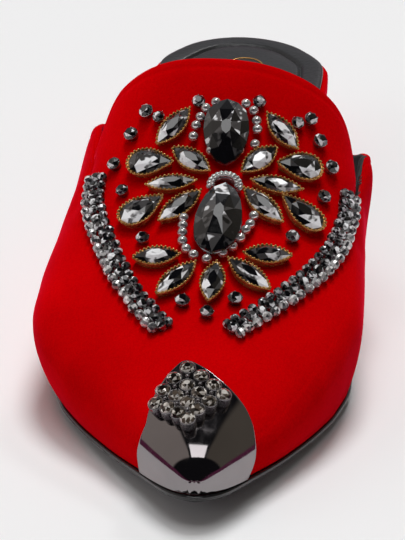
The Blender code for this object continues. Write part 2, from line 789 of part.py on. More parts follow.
def make_crescent(finish):
    """The crescent of small stones round the front large stone's narrow end."""
    loops = []
    for k in range(CRESCENT_STEPS + 1):
        swing = math.radians(CRESCENT_SWEEP) * (2 * k / CRESCENT_STEPS - 1)
        height = CRESCENT_HEIGHT * (1.0 if k % 2 else 0.7)
        loop = []
        for out, up in ((-0.5, 0.0), (0.5, 0.0), (0.5, 0.6 * height), (0.0, height), (-0.5, 0.6 * height)):
            radius = CRESCENT_RADIUS + CRESCENT_WIDTH * out
            loop.append((-radius * math.cos(swing), radius * math.sin(swing), up))
        loops.append(loop)
    crescent = loft("crescent", np.array(loops), finish)
    reach = CRESCENT_RADIUS + CRESCENT_WIDTH
    seat_on_upper(crescent, CRESCENT_S, CRESCENT_ANGLE, 0.0, (reach, reach))


def make_braid(side, finish):
    """A braid of small stones along one side of the vamp."""
    rows = column(BRAIDS, BRAID_COLUMNS, "s")
    angles = column(BRAIDS, BRAID_COLUMNS, side)
    fine_s = np.linspace(rows[0], rows[-1], 200)
    path = form(fine_s, smooth_curve(rows, angles, fine_s))
    run = np.concatenate([[0], np.cumsum(np.linalg.norm(np.diff(path, axis=0), axis=1))])
    loops = []
    for k in range(2 * BRAID_STONES + 1):
        s = float(np.interp(run[-1] * k / (2 * BRAID_STONES), run, fine_s))
        angle = float(smooth_curve(rows, angles, s))
        at = np.array([np.interp(s, fine_s, path[:, axis]) for axis in range(3)])
        step = np.array([np.interp(s + 0.5, fine_s, path[:, axis]) for axis in range(3)]) - at
        if s + 0.5 > fine_s[-1]:
            step = path[-1] - path[-4]
        out = axes_at(s, angle)[2]
        across = np.cross(out, step)
        across = across / np.linalg.norm(across)
        tall = 1.0 if k % 2 else 1.0 - BRAID_DIP
        loop = [
            at + across * (BRAID_HALF_WIDTH * q) + out * (GAP + up * tall) for q, up in BRAID_SECTION
        ]
        loops.append(loop)
    return loft(f"braid_{side}", np.array(loops), finish)


def make_toe_stones(finish):
    """The rhombus of raised stones on the toe cap: one plate with a point for each stone."""
    back, inner, front, outer = (np.array(RHOMBUS[k]) for k in ("back", "inner", "front", "outer"))
    last = RHOMBUS_STONES - 1
    steps = np.clip(np.arange(2 * RHOMBUS_STONES + 1) / 2 - 0.5, -RHOMBUS_RIM, last + RHOMBUS_RIM) / last
    p = steps[:, None, None]
    q = steps[None, :, None]
    places = (1 - p) * (1 - q) * back + p * (1 - q) * inner + (1 - p) * q * outer + p * q * front
    peak = np.arange(2 * RHOMBUS_STONES + 1) % 2 == 1
    height = np.where(peak[:, None] & peak[None, :], RHOMBUS_HEIGHT, RHOMBUS_BASE)
    under = CAP_METAL + 2 * GAP
    top = skin(places[..., 0], places[..., 1], under + height)
    bottom = skin(places[..., 0], places[..., 1], under)
    shell("toe_stones", top, bottom, finish, open_front=True)


def clear_scene():
    for thing in list(bpy.data.objects):
        bpy.data.objects.remove(thing, do_unlink=True)


def centre_on_origin():
    """Moves the shoe so that its box stands centred over the origin."""
    bpy.context.view_layer.update()
    corners = [o.matrix_world @ Vector(c) for o in SHOE.children for c in o.bound_box]
    for axis in (0, 1):
        values = [c[axis] for c in corners]
        SHOE.location[axis] = -(min(values) + max(values)) / 2


clear_scene()
SHOE = bpy.data.objects.new("mule", None)
bpy.context.scene.collection.objects.link(SHOE)

velvet = material("red_velvet", (0.62, 0.0, 0.008), 0.85)
black_edge = material("glossy_black_edge", (0.02, 0.02, 0.022), 0.22)
black_rubber = material("black_rubber", (0.02, 0.02, 0.02), 0.7)
black_leather = material("black_leather", (0.03, 0.03, 0.033), 0.55)
gunmetal = material("gunmetal", (0.27, 0.25, 0.26), 0.12, 1.0)
gold_set = material("gold_set_smoke_crystal", (0.13, 0.12, 0.11), 0.08)
smoke_crystal = material("smoke_crystal", (0.12, 0.12, 0.125), 0.06)
silver_set = material("silver_set_crystal", (0.33, 0.33, 0.34), 0.15, 0.5)

make_outsole(black_edge)
make_footbed(velvet)
make_insole(black_leather)
make_heel(velvet)
make_heel_lift(black_rubber)
make_upper(velvet)
make_toe_cap(gunmetal)
make_toe_stones(silver_set)
make_stones(gold_set, smoke_crystal)
make_crescent(silver_set)
make_braid("outer", silver_set)
make_braid("inner", silver_set)
centre_on_origin()
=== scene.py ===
"""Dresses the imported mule: velvet, leather, metal and cut stones, a floor, soft light and a camera.

Lengths in the tables are millimetres in the shoe's own frame, as in its source: s runs from the back
of the heel (0) to the tip of the toe (LENGTH), and an angle in degrees runs round the foot from the
crown line (0) over the widest line (90) to the feather edge (120), negative on the outer side.
"""

import math

import bmesh
import bpy
import numpy as np
from mathutils import Matrix, Vector


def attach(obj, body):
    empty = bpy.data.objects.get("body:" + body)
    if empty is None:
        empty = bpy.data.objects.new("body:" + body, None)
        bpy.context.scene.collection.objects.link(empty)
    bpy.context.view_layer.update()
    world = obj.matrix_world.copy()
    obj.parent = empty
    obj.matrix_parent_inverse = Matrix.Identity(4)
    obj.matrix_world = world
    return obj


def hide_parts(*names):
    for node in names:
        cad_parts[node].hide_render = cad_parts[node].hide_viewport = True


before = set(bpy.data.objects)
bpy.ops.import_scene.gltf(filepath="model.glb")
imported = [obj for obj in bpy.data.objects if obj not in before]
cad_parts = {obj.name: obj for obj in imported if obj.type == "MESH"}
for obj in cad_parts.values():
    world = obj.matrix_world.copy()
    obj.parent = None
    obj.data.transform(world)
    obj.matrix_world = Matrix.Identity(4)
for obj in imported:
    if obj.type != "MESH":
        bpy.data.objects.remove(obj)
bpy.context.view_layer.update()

MM = 0.001
SHOE_AT = np.array([2.694, 0.15, 0.0])      # where the shoe's own frame stands

LENGTH = 258.0
SOLE_THICKNESS = 3.5
HEEL_LENGTH = 50.0
HEEL_TAPER = 3.0
LIFT_THICKNESS = 4.0
FOOTBED_THICKNESS = 5.0
BOARD_THICKNESS = 2.4
SOCK_THICKNESS = 1.6
WALL = 2.0
CAP_METAL = 0.8
GAP = 0.3
TOE_MARGIN = 2.4
UPPER_TIP = LENGTH - TOE_MARGIN

SOLE_COLUMNS = ("s", "centre", "half", "underside")
SOLE = (
    (0, 1.5, 0.0, 17.0), (10, 1.5, 20.8, 17.0), (25, 1.4, 28.4, 17.0), (50, -0.8, 28.9, 16.7),
    (75, -3.4, 28.1, 13.5), (100, -4.4, 29.0, 8.7), (125, -4.1, 32.4, 4.0), (145, -3.0, 36.0, 0.9),
    (160, -2.5, 38.5, 0.0), (180, -2.2, 40.8, 0.0), (190, -2.3, 40.5, 0.0), (205, -2.5, 36.9, 0.0),
    (215, -2.3, 32.4, 0.5), (229, -1.7, 24.3, 1.6), (245, -1.1, 13.7, 3.6), (255.5, -0.9, 6.0, 5.4),
    (258, -0.9, 0.0, 5.9),
)
MARGIN_COLUMNS = ("s", "margin")
MARGIN = ((0, 0.6), (120, 0.6), (225, 0.6), (245, 1.1), (LENGTH, TOE_MARGIN))
UPPER_COLUMNS = ("s", "outer", "inner", "belt", "rise", "lean", "square")
UPPER = (
    (60, 2.0, 4.0, 12.0, 76.0, 3.5, 2.6),
    (100, 3.0, 6.5, 17.0, 74.0, 3.5, 2.6),
    (130, 4.2, 8.5, 20.0, 67.0, 3.5, 2.6),
    (145, 5.6, 7.2, 20.5, 57.5, 3.2, 2.5),
    (160, 6.1, 4.1, 20.5, 48.5, 3.0, 2.4),
    (180, 6.1, 1.8, 20.0, 38.5, 2.0, 2.3),
    (198, 6.6, 2.8, 18.0, 31.5, 0.5, 2.2),
    (215, 4.4, 2.9, 13.0, 25.6, -0.4, 2.1),
    (230, 1.4, 2.0, 7.7, 19.6, 0.0, 2.0),
    (245, 0.5, 1.0, 4.2, 12.9, 0.4, 2.0),
    (253, 0.1, 0.1, 3.2, 8.0, 0.6, 2.0),
    (UPPER_TIP, 0.0, 0.0, 3.4, 3.4, 0.0, 2.0),
)
TOPLINE_COLUMNS = ("angle", "s")
OUTER_TOPLINE = (
    (0, 131.0), (30, 130.4), (44, 130.6), (49.5, 132.4), (52.5, 136.5), (54.3, 142.0), (56, 147.2),
    (57.2, 138.4), (58.4, 135.2), (60, 134.0), (62.5, 133.6), (65, 132.4), (68.5, 128.6), (72, 123.2),
    (77, 115.8), (84, 106.0), (87, 100.4), (89, 95.2), (90, 91.0), (91, 90.3), (99, 85.0), (110, 78.4),
    (120, 72.0),
)
INNER_TOPLINE = (
    (0, 131.0), (25, 132.2), (45, 132.4), (53, 133.6), (56.8, 136.4), (58.8, 140.2), (60.8, 146.6),
    (63, 151.2), (64, 140.5), (65, 137.4), (66.6, 136.0), (69.2, 134.4), (72, 131.6), (75, 128.2),
    (78.5, 124.4), (82.6, 118.2), (85, 113.8), (87, 109.2), (89, 103.6), (90, 99.4), (91, 98.6),
    (102, 89.0), (111, 80.6), (120, 72.0),
)
OUTER_NOTCH = (56.0, 147.2)
INNER_NOTCH = (63.0, 151.2)
OUTER_FLARE = 1.6
INNER_FLARE = 3.9
EAR_RUN = 13.0
EAR_FADE = 36.0
EAR_CUP = 7.0
EAR_LIP = 0.25
WIDEST_ANGLE = 90.0
FEATHER_ANGLE = 120.0
SWELL_FADE = 20.0            # how far behind the tip the upper's swell over the sole begins to fade
OUTER_ANGLES = (
    120, 110, 100, 90, 84, 77, 72, 68.5, 65, 62.5, 60, 58.4, 57.2, 56, 54.3, 52.5, 49.5, 44, 36, 27,
    18, 9,
)
INNER_ANGLES = (
    9, 19, 28, 37, 45, 53, 56.8, 58.8, 60.8, 63, 64, 65, 66.6, 69.2, 72, 75, 78.5, 83, 90, 100, 110,
    120,
)
WARP_START = 158.0
HOLLOW_TIP = 247.5
CAP_COLUMNS = ("angle", "s")
CAP_EDGE = (
    (-120, 243.6), (-76, 242.6), (-50, 240.2), (-38, 236.8), (-24, 231.0), (-12, 225.4), (-5, 222.8),
    (2, 224.6), (10, 227.6), (20, 231.2), (32, 235.0), (46, 238.6), (62, 241.6), (80, 243.4),
    (120, 245.4),
)
BED_COLUMNS = ("s", "footbed", "sock", "thickness")
BED = (
    (0, 0.3, 1.2, FOOTBED_THICKNESS),
    (24, 0.3, 2.0, FOOTBED_THICKNESS),
    (64, 0.3, 2.0, FOOTBED_THICKNESS),
    (71, 3.5, 3.9, FOOTBED_THICKNESS),
    (90, 3.5, 3.9, 4.4),
    (125, 3.5, 3.9, BOARD_THICKNESS),
    (170, 4.1, 4.5, BOARD_THICKNESS),
    (225, 4.7, 5.1, BOARD_THICKNESS),
    (LENGTH, 13.0, 14.0, BOARD_THICKNESS),
)
SEAT_DISH = 1.4
SEAT_MIDDLE = 31.0
SEAT_REACH = 28.0
BREAST_HOLLOW = 1.5

# name, cut, s, angle, turn, length, width
GOLD_STONES = (
    ("outer_a", "marquise", 148.2, -14.0, 143, 14.6, 6.2),
    ("outer_b", "pear", 157.4, -21.6, 87, 13.2, 9.0),
    ("outer_c", "marquise", 157.6, -7.6, 54, 13.4, 6.4),
    ("outer_d", "marquise", 164.4, -13.4, 96, 14.2, 5.2),
    ("outer_e", "pear", 171.8, -22.6, 128, 14.0, 8.8),
    ("outer_f", "marquise", 171.6, -9.8, 136, 15.4, 6.2),
    ("outer_g", "marquise", 187.8, -15.2, 98, 13.0, 6.6),
    ("outer_h", "marquise", 195.4, -8.0, 142, 15.6, 6.2),
    ("middle", "marquise", 196.2, 2.0, 180, 14.6, 6.6),
    ("inner_a", "marquise", 148.0, 17.6, -138, 14.0, 6.2),
    ("inner_b", "pear", 156.2, 25.8, -85, 13.0, 8.8),
    ("inner_c", "marquise", 156.8, 10.4, -44, 13.4, 6.4),
    ("inner_d", "marquise", 163.4, 17.4, -92, 14.6, 5.4),
    ("inner_e", "pear", 170.0, 28.9, -125, 14.8, 8.0),
    ("inner_f", "marquise", 170.2, 13.4, -130, 15.4, 6.2),
    ("inner_g", "marquise", 185.6, 18.0, -80, 13.4, 6.4),
    ("inner_h", "marquise", 192.8, 13.0, -122, 15.6, 6.2),
)
LARGE_STONES = (
    ("back", "egg", 150.2, 0.6, 0, 21.4, 12.9),
    ("front", "egg", 176.4, 0.6, 177, 24.8, 13.0),
)
# s, angle, width
CHATONS = (
    (142.3, -25.7, 4.2), (144.8, -20.0, 3.6), (147.4, -31.4, 4.2), (154.5, -37.7, 4.0),
    (164.2, -31.8, 3.7), (181.0, -20.9, 3.9), (141.8, -6.0, 3.8), (141.2, 9.2, 3.8), (144.4, 23.6, 3.8),
    (142.0, 29.4, 3.9), (146.7, 34.1, 4.2), (152.1, 41.0, 4.2), (162.2, 38.4, 4.0), (178.0, 26.2, 4.0),
    (202.4, -5.4, 4.2), (206.0, 2.2, 3.9), (200.8, 10.6, 4.1),
)
# Half outlines: how far along the stone, from -1 to 1, and how wide, from 0 to 1.
CUTS = {
    "pear": ((-1, 0), (-0.9, 0.52), (-0.58, 0.92), (-0.16, 1.0), (0.3, 0.78), (0.68, 0.42), (1, 0)),
    "egg": (
        (-1, 0), (-0.88, 0.5), (-0.55, 0.9), (-0.1, 1.0), (0.4, 0.86), (0.78, 0.54), (0.93, 0.28),
        (1, 0),
    ),
}
CRESCENT_S = 165.6
CRESCENT_ANGLE = 1.0
CRESCENT_RADIUS = 3.75
CRESCENT_SWEEP = 96.0
CRESCENT_WIDTH = 1.4
BRAID_COLUMNS = ("s", "outer", "inner")
BRAIDS = (
    (156, -46.8, 54.2), (163, -46.2, 53.6), (170, -42.6, 51.0), (178, -37.0, 46.8), (187, -31.2, 39.4),
    (194, -26.2, 32.4), (201, -21.2, 25.4), (207, -16.4, 18.2), (211, -13.0, 13.2),
)
# s and angle of the rhombus's corners
RHOMBUS = {
    "back": (227.3, -5.1), "inner": (235.3, 16.4), "front": (243.6, -9.4), "outer": (237.3, -30.6),
}
RHOMBUS_STONES = 4

# Small silver beads sewn round the two large stones.
BEAD_WIDTH = 2.8
# s, angle
BEADS = (
    (142.2, -1.3), (143.7, -3.8), (146.1, -5.3), (148.3, -6.5), (151.2, -7.2), (142.2, 5.1),
    (143.8, 7.5), (146.4, 8.6), (148.6, 9.0), (152.6, 8.6), (155.0, -2.2), (154.6, 4.1), (175.4, -8.2),
    (177.8, -8.2), (180.1, -8.1), (182.8, -7.8), (185.4, -6.4), (187.4, -4.0), (188.7, -0.5),
    (173.8, 10.7), (176.5, 9.9), (178.4, 8.8), (181.2, 7.5), (184.1, 5.6), (186.4, 3.1),
)

RNG = np.random.default_rng(38)


# Reading the tables ------------------------------------------------------------------------------

def smooth_curve(xs, ys, x):
    """A monotone cubic curve through the points (xs, ys), read at x."""
    xs = np.asarray(xs, float)
    ys = np.asarray(ys, float)
    x = np.clip(np.asarray(x, float), xs[0], xs[-1])
    step = np.diff(xs)
    grade = np.diff(ys) / step
    slope = np.zeros_like(ys)
    slope[0] = grade[0]
    slope[-1] = grade[-1]
    for k in range(1, len(xs) - 1):
        if grade[k - 1] * grade[k] > 0:
            near = 2 * step[k] + step[k - 1]
            far = step[k] + 2 * step[k - 1]
            slope[k] = (near + far) / (near / grade[k - 1] + far / grade[k])
    k = np.clip(np.searchsorted(xs, x, side="right") - 1, 0, len(xs) - 2)
    h = step[k]
    u = (x - xs[k]) / h
    start = (1 + 2 * u) * (1 - u) ** 2 * ys[k] + u * (1 - u) ** 2 * h * slope[k]
    end = u * u * (3 - 2 * u) * ys[k + 1] + u * u * (u - 1) * h * slope[k + 1]
    return start + end


def column(table, names, name):
    """One named column of a table."""
    return np.array([row[names.index(name)] for row in table], float)


def turn(s):
    """s as an angle round a half circle, so that a width read against it closes in a round end."""
    return np.arccos(np.clip(1 - 2 * np.asarray(s, float) / LENGTH, -1, 1))


def read(table, names, name, at, round_end=False):
    """A named column read at a value of the first one; round_end closes a width in a round end."""
    places = column(table, names, names[0])
    values = column(table, names, name)
    if round_end:
        return smooth_curve(turn(places), values, turn(at))
    return smooth_curve(places, values, at)


def sole(name, s):
    return read(SOLE, SOLE_COLUMNS, name, s, name == "half")


def upper(name, s):
    return read(UPPER, UPPER_COLUMNS, name, s, name == "rise")


def margin(s):
    return read(MARGIN, MARGIN_COLUMNS, "margin", s)


def bed(name, s):
    return read(BED, BED_COLUMNS, name, s)


def topline(angle):
    """The s at which the upper ends, at each angle round the foot."""
    outer, inner = (
        read(table, TOPLINE_COLUMNS, "s", np.abs(angle)) for table in (OUTER_TOPLINE, INNER_TOPLINE)
    )
    return np.where(np.asarray(angle) < 0, outer, inner)


def cap_edge(angle):
    return read(CAP_EDGE, CAP_COLUMNS, "s", angle)


def sole_top(s):
    return sole("underside", s) + SOLE_THICKNESS


def outline(inset):
    """The sole's plan moved inward by inset(s): matching arrays of s and half width, heel to toe."""
    s = LENGTH * (1 - np.cos(np.linspace(0, math.pi, 481))) / 2
    half = sole("half", s)
    along = np.gradient(s)
    across = np.gradient(half)
    size = np.hypot(along, across)
    depth = inset(s)
    moved_s = s + across / size * depth
    moved_half = half - along / size * depth
    moved_s[[0, -1]] = depth[0], LENGTH - depth[-1]
    moved_half[[0, -1]] = 0.0
    keep = np.concatenate([[True], np.diff(np.maximum.accumulate(moved_s)) > 0])
    moved_s = moved_s[keep]
    moved_half = np.maximum(moved_half[keep], 0.0)
    end = np.flatnonzero(moved_half)[-1] + 2
    return moved_s[:end], moved_half[:end]


FEATHER_LINE = outline(margin)


# The upper's surface -----------------------------------------------------------------------------

def ear_flare(s, angle):
    """How far the ears beside the tongue turn outward, behind and below each notch."""
    flare = 0.0
    for side, notch, size in ((-1, OUTER_NOTCH, OUTER_FLARE), (1, INNER_NOTCH, INNER_FLARE)):
        behind = np.clip((notch[1] - s) / EAR_RUN, 0, 1)
        below = np.clip((side * angle - notch[0]) / EAR_FADE, 0, 1)
        fade = np.cos(below * math.pi / 2) ** 2 * behind * behind * (3 - 2 * behind)
        curl = np.clip((side * angle - notch[0]) / EAR_CUP, 0, 1)
        fade = fade * (EAR_LIP + (1 - EAR_LIP) * np.sin(curl * math.pi / 2))
        flare = flare + np.where(side * angle >= notch[0], size * fade, 0.0)
    return flare


NORMAL_S = 0.4               # half the steps of s and of angle that a normal is taken over
NORMAL_ANGLE = 0.6


def form(s, angle):
    """Points (x, y, z) of the upper's outer surface."""
    s, angle = np.broadcast_arrays(np.asarray(s, float), np.asarray(angle, float))
    side = np.where(angle < 0, -1.0, 1.0)
    steep = np.radians(np.minimum(np.abs(angle), WIDEST_ANGLE))
    tuck = np.clip((FEATHER_ANGLE - np.abs(angle)) / (FEATHER_ANGLE - WIDEST_ANGLE), 0, 1)
    power = 2 / upper("square", s)
    swell = np.where(side < 0, upper("outer", s), upper("inner", s))
    belt = upper("belt", s)
    rise = upper("rise", s)
    feather = np.interp(s, *FEATHER_LINE)
    fade = np.interp(s, (UPPER_TIP - SWELL_FADE, UPPER_TIP), (1.0, 0.0))
    over = np.abs(angle) <= WIDEST_ANGLE
    arch = (feather + swell * fade) * np.sin(steep) ** power
    under = feather + swell * fade * (1 - (1 - tuck) ** 2)
    across = np.where(over, arch, under) + ear_flare(s, angle)
    up = np.where(over, belt + (rise - belt) * np.cos(steep) ** power, belt * tuck)
    x = sole("centre", s) + upper("lean", s) * up / rise + side * across
    return np.stack([x, LENGTH / 2 - s, sole_top(s) + GAP + up], axis=-1)


def outward(s, angle):
    """Unit normals of that surface, pointing out of the shoe."""
    s = np.asarray(s, float)
    angle = np.asarray(angle, float)
    low = np.maximum(angle - NORMAL_ANGLE, -FEATHER_ANGLE)
    high = np.minimum(angle + NORMAL_ANGLE, FEATHER_ANGLE)
    ahead = np.minimum(s + NORMAL_S, UPPER_TIP)
    normal = np.cross(form(ahead, angle) - form(s - NORMAL_S, angle), form(s, high) - form(s, low))
    normal = normal / np.maximum(np.linalg.norm(normal, axis=-1, keepdims=True), 1e-9)
    at_tip = (s > UPPER_TIP - 1e-6)[..., None]
    return np.where(at_tip, np.array([0.0, -1.0, 0.0]), normal)


def skin(s, angle, out):
    """The upper's surface moved outward by out, or inward where out is negative."""
    s, angle = np.broadcast_arrays(np.asarray(s, float), np.asarray(angle, float))
    points = form(s, angle) + outward(s, angle) * np.asarray(out, float)[..., None]
    floor = sole_top(LENGTH / 2 - points[..., 1]) + GAP
    on_feather = np.abs(angle) >= FEATHER_ANGLE
    points[..., 2] = np.where(on_feather, floor, np.maximum(points[..., 2], floor))
    return points


def axes_at(s, angle, turned_by=0.0):
    """Unit vectors along, across and out of the surface at a point, as rows."""
    out = outward(np.array([s]), np.array([angle]))[0]
    ahead = form(s + 0.5, angle) - form(s - 0.5, angle)
    ahead = ahead - out * (ahead @ out)
    ahead = ahead / np.linalg.norm(ahead)
    inward = np.cross(out, ahead)
    swing = math.radians(turned_by)
    along = ahead * math.cos(swing) + inward * math.sin(swing)
    return np.array([along, np.cross(out, along), out])


def clearance(s, angle, axes, reach):
    """How far the upper stands above the tangent plane within reach (along, across) of a point."""
    around_s, around_angle = np.meshgrid(s + np.linspace(-14, 14, 29), angle + np.linspace(-24, 24, 33))
    local = (form(around_s, around_angle) - form(s, angle)) @ axes.T
    near = (np.abs(local[..., 0]) <= reach[0]) & (np.abs(local[..., 1]) <= reach[1])
    return float(np.max(np.where(near, local[..., 2], 0.0)))


# Meshes ------------------------------------------------------------------------------------------

def add_object(name, data, place=(0, 0, 0), towards=None):
    """Links a new object; a lamp or camera looks along towards."""
    made = bpy.data.objects.new(name, data)
    bpy.context.scene.collection.objects.link(made)
    made.location = place
    if towards is not None:
        made.rotation_euler = towards.to_track_quat("-Z", "Y").to_euler()
    return made


class Heap:
    """Points and faces of one piece, gathered from its bodies."""

    def __init__(self):
        self.points = []
        self.faces = []
        self.finish = []
        self.smooth = []
        self.tone = []
        self.count = 0

    def add(self, points, faces, finish=0, smooth=True, tone=0.0):
        """Adds a body; the brightness of its faces, painted reflections and glints on cut stones, is
        one number or one for each face.
        """
        points = np.asarray(points, float).reshape(-1, 3)
        tones = np.broadcast_to(np.asarray(tone, float), (len(faces),))
        for face, shade in zip(faces, tones):
            self.faces.append([int(k) + self.count for k in face])
            self.tone.append(float(shade))
        self.finish += [finish] * len(faces)
        self.smooth += [smooth] * len(faces)
        self.points.append(points)
        self.count += len(points)

    def close(self, face, finish):
        """Adds one flat face over points that are there already."""
        self.faces.append(face)
        self.finish.append(finish)
        self.smooth.append(False)
        self.tone.append(0.0)

    def piece(self, name, materials, slot, *nodes):
        """The object, riding on the shoe's only body and standing for those CAD nodes."""
        mesh = bpy.data.meshes.new(name)
        mesh.from_pydata(((np.concatenate(self.points) + SHOE_AT) * MM).tolist(), [], self.faces)
        for finish in materials:
            mesh.materials.append(finish)
        mesh.polygons.foreach_set("material_index", self.finish)
        mesh.polygons.foreach_set("use_smooth", self.smooth)
        # Each face's painted brightness, which the stones' finishes read as painted reflections and
        # glints.
        tones = mesh.attributes.new("tone", "FLOAT", "FACE")
        tones.data.foreach_set("value", self.tone)
        mesh.update()
        made = add_object(name, mesh)
        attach(made, "root")
        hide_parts(*nodes)
        return made


def grid_faces(rows, columns, wrap=False):
    """Quads over a grid of points numbered row by row; wrap joins its last column to its first."""
    i, j = np.meshgrid(np.arange(rows - 1), np.arange(columns if wrap else columns - 1), indexing="ij")
    k = (j + 1) % columns
    this, following = i * columns, (i + 1) * columns
    return np.stack([this + j, this + k, following + k, following + j], -1).reshape(-1, 4).tolist()


def refined(values, step):
    """The sorted values with each gap split into even steps no longer than step."""
    out = []
    for a, b in zip(values, values[1:]):
        parts = max(1, math.ceil((b - a) / step - 1e-9))
        out += [a + (b - a) * k / parts for k in range(parts)]
    return np.array(out + [values[-1]], float)


def rolled_edge(outer, inner, normals, steps, back, bulge=1.0):
    """The half round that joins a wall's two faces along their last rows; back picks the row that
    the edge points away from."""
    edge = outer[-1]
    away = np.cross(np.gradient(edge, axis=0), normals)
    away = away / np.linalg.norm(away, axis=1, keepdims=True)
    away *= np.sign(np.sum(away * (edge - outer[-back]), axis=1, keepdims=True))
    middle = (edge + inner[-1]) / 2
    reach = (edge - inner[-1]) / 2
    radius = np.linalg.norm(reach, axis=1, keepdims=True)
    roll = []
    for k in range(1, steps):
        swing = math.pi * k / steps
        roll.append(middle + reach * math.cos(swing) + away * radius * bulge * math.sin(swing))
    return np.array(roll)


# Materials ---------------------------------------------------------------------------------------

def material(name, **sockets):
    """A Principled material; a keyword names a socket, with _ for its spaces."""
    made = bpy.data.materials.new(name)
    made.use_nodes = True
    shader = made.node_tree.nodes["Principled BSDF"]
    for key, value in sockets.items():
        shader.inputs[key.replace("_", " ")].default_value = value
    return made, made.node_tree, shader


def node(tree, kind, **settings):
    made = tree.nodes.new(kind)
    for key, value in settings.items():
        if isinstance(value, (int, float, tuple)) and key in made.inputs:
            made.inputs[key].default_value = value
        else:
            setattr(made, key, value)
    return made


def rgba(r, g, b):
    return (r, g, b, 1.0)


def grey(v):
    return rgba(v, v, v)


def noise(tree, scale, detail, roughness, stretch=None):
    """A noise in the object's own metres; stretch scales its axes."""
    source = node(tree, "ShaderNodeTexCoord").outputs["Object"]
    if stretch is not None:
        mapping = node(tree, "ShaderNodeMapping", Scale=stretch)
        tree.links.new(source, mapping.inputs["Vector"])
        source = mapping.outputs["Vector"]
    made = node(tree, "ShaderNodeTexNoise", Scale=scale, Detail=detail, Roughness=roughness)
    tree.links.new(source, made.inputs["Vector"])
    return made.outputs["Fac"]


def ramp(tree, source, *stops):
    """A colour ramp read at source; each stop is (place, colour)."""
    made = node(tree, "ShaderNodeValToRGB")
    while len(made.color_ramp.elements) < len(stops):
        made.color_ramp.elements.new(0.5)
    for element, (place, colour) in zip(made.color_ramp.elements, stops):
        element.position = place
        element.color = colour
    tree.links.new(source, made.inputs["Fac"])
    return made.outputs["Color"]


def value_ramp(tree, source, low, high, start, end, kind="LINEAR"):
    """source mapped from start..end to low..high."""
    made = node(tree, "ShaderNodeMapRange", interpolation_type=kind)
    for name, value in (("From Min", start), ("From Max", end), ("To Min", low), ("To Max", high)):
        made.inputs[name].default_value = value
    tree.links.new(source, made.inputs["Value"])
    return made.outputs["Result"]


def smooth_step(tree, source, start, end):
    return value_ramp(tree, source, 0.0, 1.0, start, end, "SMOOTHSTEP")


def attribute(tree, name):
    made = node(tree, "ShaderNodeAttribute")
    made.attribute_name = name
    return made.outputs["Fac"]


def connect(tree, value, socket):
    """Sets a plain value on a socket, or links another node's output to it."""
    if isinstance(value, (int, float, tuple)):
        socket.default_value = value
    else:
        tree.links.new(value, socket)


def math_node(tree, operation, a, b):
    made = node(tree, "ShaderNodeMath", operation=operation)
    tree.links.new(a, made.inputs[0])
    tree.links.new(b, made.inputs[1])
    return made.outputs["Value"]


def mix_colour(tree, factor, a, b, blend="MIX"):
    made = node(tree, "ShaderNodeMix", data_type="RGBA", blend_type=blend)
    for socket, value in ((made.inputs[0], factor), (made.inputs[6], a), (made.inputs[7], b)):
        connect(tree, value, socket)
    return made.outputs[2]


def paint(tree, shader, colour, roughness):
    """Gives a finish its colour and its roughness, both from other nodes."""
    tree.links.new(colour, shader.inputs["Base Color"])
    tree.links.new(roughness, shader.inputs["Roughness"])


def bump(tree, shader, height, strength, distance):
    """Adds a bump after any that the shader already has."""
    made = node(tree, "ShaderNodeBump", Strength=strength, Distance=distance)
    tree.links.new(height, made.inputs["Height"])
    before = shader.inputs["Normal"].links
    if before:
        tree.links.new(before[0].from_socket, made.inputs["Normal"])
    tree.links.new(made.outputs["Normal"], shader.inputs["Normal"])


def velvet_material():
    made, tree, shader = material("velvet_red", Sheen_Weight=0.42, Sheen_Roughness=0.35)
    shader.inputs["Sheen Tint"].default_value = rgba(1.0, 0.04, 0.12)
    shader.inputs["Specular IOR Level"].default_value = 0.0
    nap = noise(tree, 26.0, 2.0, 0.5)
    brushed = noise(tree, 120.0, 3.0, 0.6, stretch=(1.0, 0.35, 1.0))
    pile = noise(tree, 1500.0, 2.0, 0.6)
    deep = ramp(tree, nap, (0.3, rgba(0.55, 0.0, 0.001)), (0.7, rgba(0.66, 0.0, 0.0012)))
    sweep = ramp(tree, brushed, (0.3, grey(0.93)), (0.7, grey(1.0)))
    speck = ramp(tree, pile, (0.3, grey(0.88)), (0.65, grey(1.0)))
    combed = mix_colour(tree, 1.0, deep, sweep, "MULTIPLY")
    colour = mix_colour(tree, 1.0, combed, speck, "MULTIPLY")
    paint(tree, shader, colour, value_ramp(tree, nap, 0.86, 0.96, 0.3, 0.7))
    bump(tree, shader, pile, 0.3, 0.0002)
    bump(tree, shader, brushed, 0.1, 0.0006)
    return made


LEATHER_PORE = 900.0
LEATHER_DEPTH = 0.0002


def leather_material(name, dark, pale, roughness):
    made, tree, shader = material(name)
    grain = noise(tree, LEATHER_PORE, 3.0, 0.6)
    wear = noise(tree, 28.0, 4.0, 0.6)
    rough = value_ramp(tree, wear, roughness - 0.08, roughness + 0.08, 0.3, 0.7)
    paint(tree, shader, ramp(tree, wear, (0.3, dark), (0.75, pale)), rough)
    cells = node(tree, "ShaderNodeTexVoronoi", Scale=LEATHER_PORE * 0.7)
    tree.links.new(node(tree, "ShaderNodeTexCoord").outputs["Object"], cells.inputs["Vector"])
    bump(tree, shader, cells.outputs["Distance"], 0.3, LEATHER_DEPTH)
    bump(tree, shader, grain, 0.25, LEATHER_DEPTH)
    return made


def gloss_material():
    made, tree, shader = material("sole_edge_gloss", Coat_Weight=0.3, Coat_Roughness=0.08)
    wear = noise(tree, 60.0, 4.0, 0.6)
    scratch = noise(tree, 40.0, 3.0, 0.5, stretch=(1.0, 0.12, 12.0))
    colour = ramp(tree, wear, (0.3, rgba(0.006, 0.006, 0.007)), (0.8, rgba(0.016, 0.016, 0.018)))
    paint(tree, shader, colour, value_ramp(tree, scratch, 0.1, 0.3, 0.35, 0.7))
    bump(tree, shader, scratch, 0.06, 0.0002)
    return made


